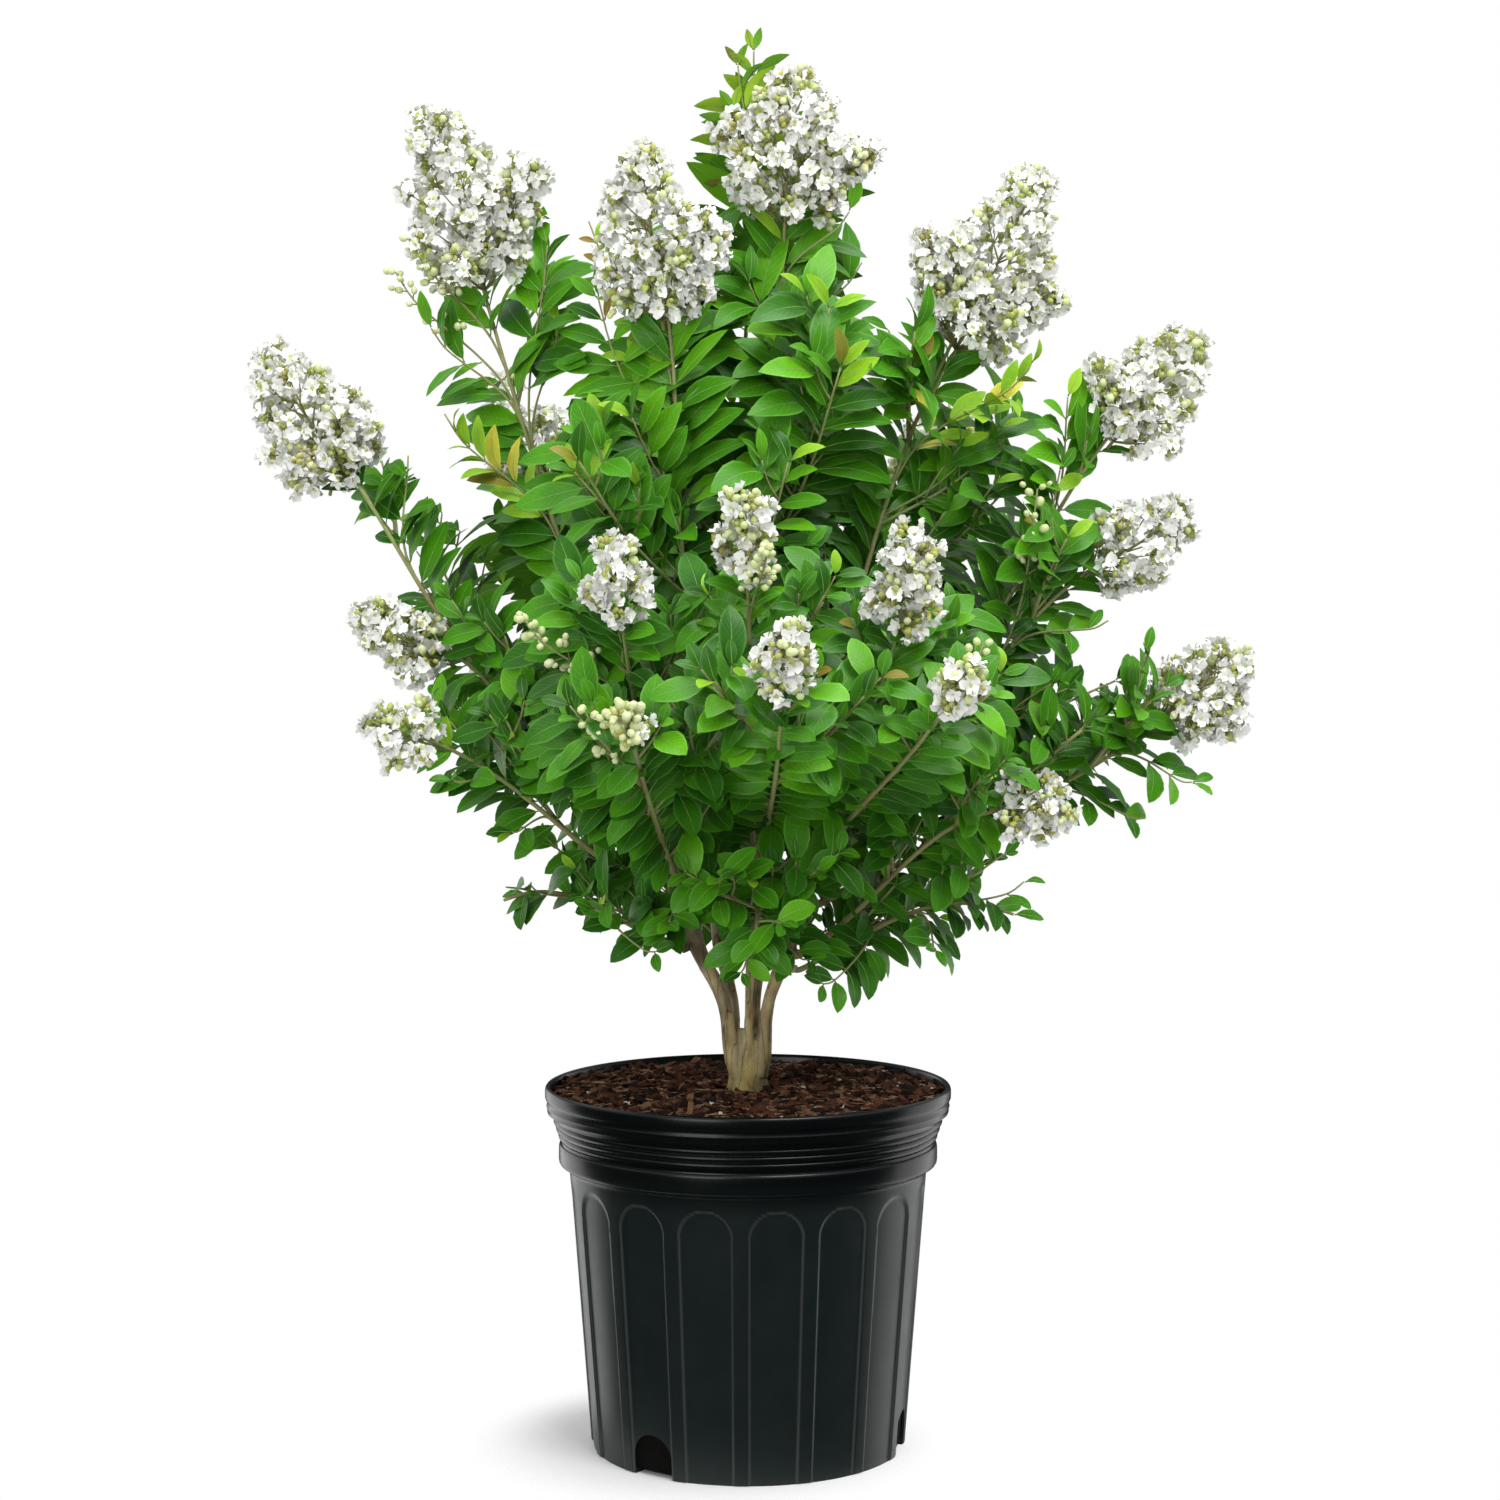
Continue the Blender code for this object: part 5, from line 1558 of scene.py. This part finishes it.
def addSpray(rng, templates, place, outward, radius, budShare):
    # flowers and buds spread over the outer side of a small ball
    count = rng.randint(*bloomPlan["sprayFlowers"])
    turn = Matrix([list(row) for row in turnTo(outward, rng.uniform(0, math.tau))])
    for number in range(count):
        fall = math.acos(1 - 1.45 * (number + 0.5) / count)
        spin = number * 2.39996 + rng.uniform(-0.3, 0.3)
        way = Vector((math.sin(fall) * math.cos(spin), math.sin(fall) * math.sin(spin), math.cos(fall)))
        way = (turn @ way + jitter(rng, 0.22)).normalized()
        spot = place + way * radius * rng.uniform(0.76, 1.18)
        addStalk(place - outward * radius * 0.5, place + way * radius * 0.4, spot, (0.00045, 0.00035))
        if rng.random() < budShare:
            size = rng.uniform(0.0024, 0.0034)
            addBall("buds", budBall, spot, size, way, 1.15)
            if rng.random() < 0.6:
                addBall("buds", budBall, spot + jitter(rng, 0.0045), size * 0.8, way, 1.15)
            continue
        points, faces = rng.choice(templates)
        facing = turnTo((way + jitter(rng, 0.35)).normalized(), rng.uniform(0, math.tau))
        blossom["petals"].append((points * rng.uniform(0.85, 1.15) @ facing.T + np.array(spot), faces))
        if rng.random() < 0.6:
            addBall("hearts", roundBall, spot + way * 0.0007, rng.uniform(0.0009, 0.0016), way, 1.1)
        addBall("cups", roundBall, spot - way * 0.0024, 0.0019, way, 1.35)
    for _ in range(4):
        side = (outward + jitter(rng, 1.0)).normalized()
        spot = place + side * radius * rng.uniform(0.55, 1.0)
        addBall("cups", roundBall, spot, rng.uniform(0.0018, 0.0026), side, 1.4)


def addPanicle(rng, templates, base, way, length, width, budShare):
    # sprays wound round a cone of uneven girth, on stalks from its axis
    turn = Matrix([list(row) for row in turnTo(way)])
    slant = math.hypot(length, width / 2)
    count = max(4, round(math.pi * width / 2 * 0.80 * slant / bloomPlan["sprayPitch"] ** 2))
    addStalk(base - way * 0.010, base + way * length * 0.5, base + way * (length - 0.008), (0.0014, 0.0007))
    for number in range(count):
        share = ((number + 0.5) / count) ** 1.25
        radius = rng.uniform(*bloomPlan["sprayRadius"]) * (1.0 - 0.22 * share)
        spin = number * 2.39996 + rng.uniform(-0.35, 0.35)
        girth = np.interp(share, bloomPlan["shapeAt"], bloomPlan["shape"])
        reach = max(0.0, width / 2 - radius - 0.004) * girth * (1 + rng.uniform(-1, 1) * bloomPlan["uneven"])
        height = radius * 0.6 + share * (length - radius * 1.4 - 0.004)
        flat = Vector((math.cos(spin), math.sin(spin), 0))
        place = base + turn @ (flat * reach + upward * height)
        outward = (turn @ (flat + upward * (0.15 + share * 1.3))).normalized()
        if place.y > bloomPlan["seenThrough"] and hidesSky(np.array([place])):
            continue
        foot = base + way * max(-0.004, height - reach * 0.9 - 0.006)
        addStalk(foot, foot.lerp(place, 0.6) - way * 0.001, place, (0.0008, 0.0005))
        addSpray(rng, templates, place, outward, radius, budShare * (1.8 if share > 0.8 else 0.9))


def addBudSpray(rng, path):
    # a loose raceme of round buds along the outer half of a shoot
    whole = pathLengths(path)[-1]
    for number in range(13):
        spot, turnFrame = pointAlong(path, whole * min(0.999, 0.52 + 0.48 * number / 12))
        onward = turnFrame.col[2]
        side = faceWay(turnFrame, number * 1.17)
        way = (onward * 0.8 + side).normalized()
        reach = rng.uniform(0.006, 0.012) * (1.2 - 0.6 * number / 12)
        tip = spot + way * reach
        addStalk(spot, spot.lerp(tip, 0.5), tip, (0.0006, 0.0004))
        addBall("buds", budBall, tip, rng.uniform(0.0021, 0.0032), way, 1.15)
        if rng.random() < 0.7:
            addBall("buds", budBall, tip + jitter(rng, 0.005), rng.uniform(0.0017, 0.0026), way, 1.15)


def growBlossom():
    rng = random.Random(bloomPlan["seed"])
    templates = [flowerTemplate(rng) for _ in range(bloomPlan["templates"])]
    for mass, (base, way, length, width) in blooms.items():
        budShare = bloomPlan["halfBud"].get(mass, bloomPlan["budShare"])
        base = base + Vector(bloomPlan["nudge"].get(mass, (0, 0, 0)))
        addPanicle(rng, templates, base, way, length, width, budShare)
    for mass, share, tip, (length, width) in lobePlan:
        base, way, whole, _ = blooms[mass]
        foot = base + way * whole * share
        turned = (Vector(tip) - foot).normalized()
        addStalk(foot, foot.lerp(Vector(tip), 0.2), foot.lerp(Vector(tip), 0.4), (0.0010, 0.0008))
        addPanicle(rng, templates, Vector(tip) - turned * length, turned, length, width, bloomPlan["budShare"])
    for path, _, kind in extras:
        if kind == "buds":
            addBudSpray(rng, path)


def makeBlossom():
    growBlossom()
    print("  flowers in all:", len(blossom["petals"]), "and buds:", len(blossom["buds"]))
    white = newMaterial("petalWhite", {
        "colour": (0.93, 0.93, 0.885), "drift": (0.90, 0.91, 0.88), "roughness": 0.6, "patch": 50.0,
        "grain": 500.0, "speckle": 0.04, "relief": 0.0003, "bump": 0.3, "specular": 0.2,
    })
    half = len(blossom["petals"]) // 2
    finishPiece(joinedMesh("petals_upper", blossom["petals"][:half], white))
    finishPiece(joinedMesh("petals_lower", blossom["petals"][half:], white))
    looks = [
        ("flower_hearts", "hearts", "heartOlive", (0.62, 0.64, 0.20), (0.50, 0.56, 0.14)),
        ("flower_cups", "cups", "cupGreen", (0.42, 0.52, 0.12), (0.46, 0.44, 0.12)),
        ("buds", "buds", "budCream", (0.62, 0.72, 0.30), (0.74, 0.78, 0.46)),
        ("flower_stalks", "stalks", "stalkGreen", (0.34, 0.40, 0.13), (0.32, 0.28, 0.11)),
    ]
    for name, kind, material, colour, drift in looks:
        look = {"colour": colour, "drift": drift, "roughness": 0.5, "patch": 40.0, "speckle": 0.25}
        finishPiece(joinedMesh(name, blossom[kind], newMaterial(material, look)))


print("blossom")
makeBlossom()


# studio: pale floor, soft lights and the camera

studioPlan = {
    "camera": (0.0014, -2.0, 0.572),
    "target": (0.0014, 0.0, 0.4843),
    "lens": 69.3,
    "floorSize": 14.0,
    "floorClear": (0.100, 0.170),
    "floorShift": (0.030, 0.0, 0.0),
    "sky": {"camera": 1.0, "diffuse": 0.74, "glossy": (0.02, 0.90), "glossyRise": (0.10, 0.80)},
    # place, target, width, height, watts
    "lights": {
        "key": ((1.0, -1.6, 2.8), (0, 0, 0.6), 1.4, 1.4, 52),
        "fill": ((-1.3, -2.5, 1.1), (0, 0, 0.45), 1.3, 1.3, 20),
        "overhead": ((0.3, 0.2, 3.0), (0, 0, 0.5), 1.6, 1.6, 36),
    },
    # seen only in reflections, along the pot's sides
    "strips": {
        "leftStrip": ((-1.5, 1.5, -0.3), (0, 0, -0.1), 1.6, 2.4, 18),
        "rightStrip": ((1.75, 1.1, -0.3), (0, 0, -0.1), 2.0, 2.4, 20),
    },
}


def makeLamp(name, place, target, width, height, watts):
    bpy.ops.object.light_add(type="AREA", location=place)
    lamp = bpy.context.active_object
    lamp.name = name
    lamp.data.shape = "RECTANGLE"
    lamp.data.size, lamp.data.size_y = width, height
    lamp.data.energy = watts
    lamp.rotation_euler = (Vector(target) - Vector(place)).to_track_quat("-Z", "Y").to_euler()
    lamp.visible_camera = False
    return lamp


def makeSky(plan):
    # white to the camera, an even fill for matt surfaces, and brighter above than below in reflections
    world = bpy.data.worlds.new("studio")
    bpy.context.scene.world = world
    world.use_nodes = True
    nodes, links = world.node_tree.nodes, world.node_tree.links
    sky = nodes["Background"]
    sky.inputs["Color"].default_value = (1, 1, 1, 1)
    path = nodes.new("ShaderNodeLightPath")
    split = nodes.new("ShaderNodeSeparateXYZ")
    links.new(nodes.new("ShaderNodeTexCoord").outputs["Generated"], split.inputs["Vector"])
    rise = nodes.new("ShaderNodeMapRange")
    rise.interpolation_type = "SMOOTHSTEP"
    rise.inputs["From Min"].default_value, rise.inputs["From Max"].default_value = plan["glossyRise"]
    rise.inputs["To Min"].default_value, rise.inputs["To Max"].default_value = plan["glossy"]
    links.new(split.outputs["Z"], rise.inputs["Value"])
    matt = nodes.new("ShaderNodeMapRange")
    matt.inputs["To Min"].default_value = plan["diffuse"]
    links.new(path.outputs["Is Glossy Ray"], matt.inputs["Value"])
    links.new(rise.outputs["Result"], matt.inputs["To Max"])
    seen = nodes.new("ShaderNodeMapRange")
    seen.inputs["To Max"].default_value = plan["camera"]
    links.new(path.outputs["Is Camera Ray"], seen.inputs["Value"])
    links.new(matt.outputs["Result"], seen.inputs["To Min"])
    links.new(seen.outputs["Result"], sky.inputs["Strength"])


def makeStudio(plan):
    deselectAll()
    bpy.ops.mesh.primitive_plane_add(size=plan["floorSize"], location=(0, 0, 0))
    floor = newPiece("studio_floor")
    material = bpy.data.materials.new("paleFloor")
    material.use_nodes = True
    shader = material.node_tree.nodes["Principled BSDF"]
    shader.inputs["Base Color"].default_value = (0.93, 0.93, 0.93, 1)
    shader.inputs["Roughness"].default_value = 0.9
    shader.inputs["Specular IOR Level"].default_value = 0.1
    floorNodes, floorLinks = material.node_tree.nodes, material.node_tree.links
    away = floorNodes.new("ShaderNodeVectorMath")
    away.operation = "LENGTH"
    shift = floorNodes.new("ShaderNodeVectorMath")
    shift.operation = "ADD"
    shift.inputs[1].default_value = plan["floorShift"]
    floorLinks.new(floorNodes.new("ShaderNodeTexCoord").outputs["Object"], shift.inputs[0])
    floorLinks.new(shift.outputs["Vector"], away.inputs[0])
    fade = floorNodes.new("ShaderNodeMapRange")
    fade.interpolation_type = "SMOOTHSTEP"
    fade.inputs["From Min"].default_value, fade.inputs["From Max"].default_value = plan["floorClear"]
    fade.inputs["To Min"].default_value, fade.inputs["To Max"].default_value = 1.0, 0.0
    floorLinks.new(away.outputs["Value"], fade.inputs["Value"])
    floorLinks.new(fade.outputs["Result"], shader.inputs["Alpha"])
    floor.data.materials.append(material)
    for name, light in plan["lights"].items():
        makeLamp(name, *light)
    for name, light in plan["strips"].items():
        makeLamp(name, *light).visible_diffuse = False
    makeSky(plan["sky"])
    bpy.ops.object.camera_add(location=plan["camera"])
    camera = bpy.context.active_object
    way = Vector(plan["target"]) - Vector(plan["camera"])
    camera.rotation_euler = way.to_track_quat("-Z", "Y").to_euler()
    camera.data.lens = plan["lens"]
    camera.data.sensor_width = 36
    bpy.context.scene.camera = camera
    bpy.context.scene.view_settings.view_transform = "Standard"


print("studio")
makeStudio(studioPlan)

bpy.context.view_layer.update()
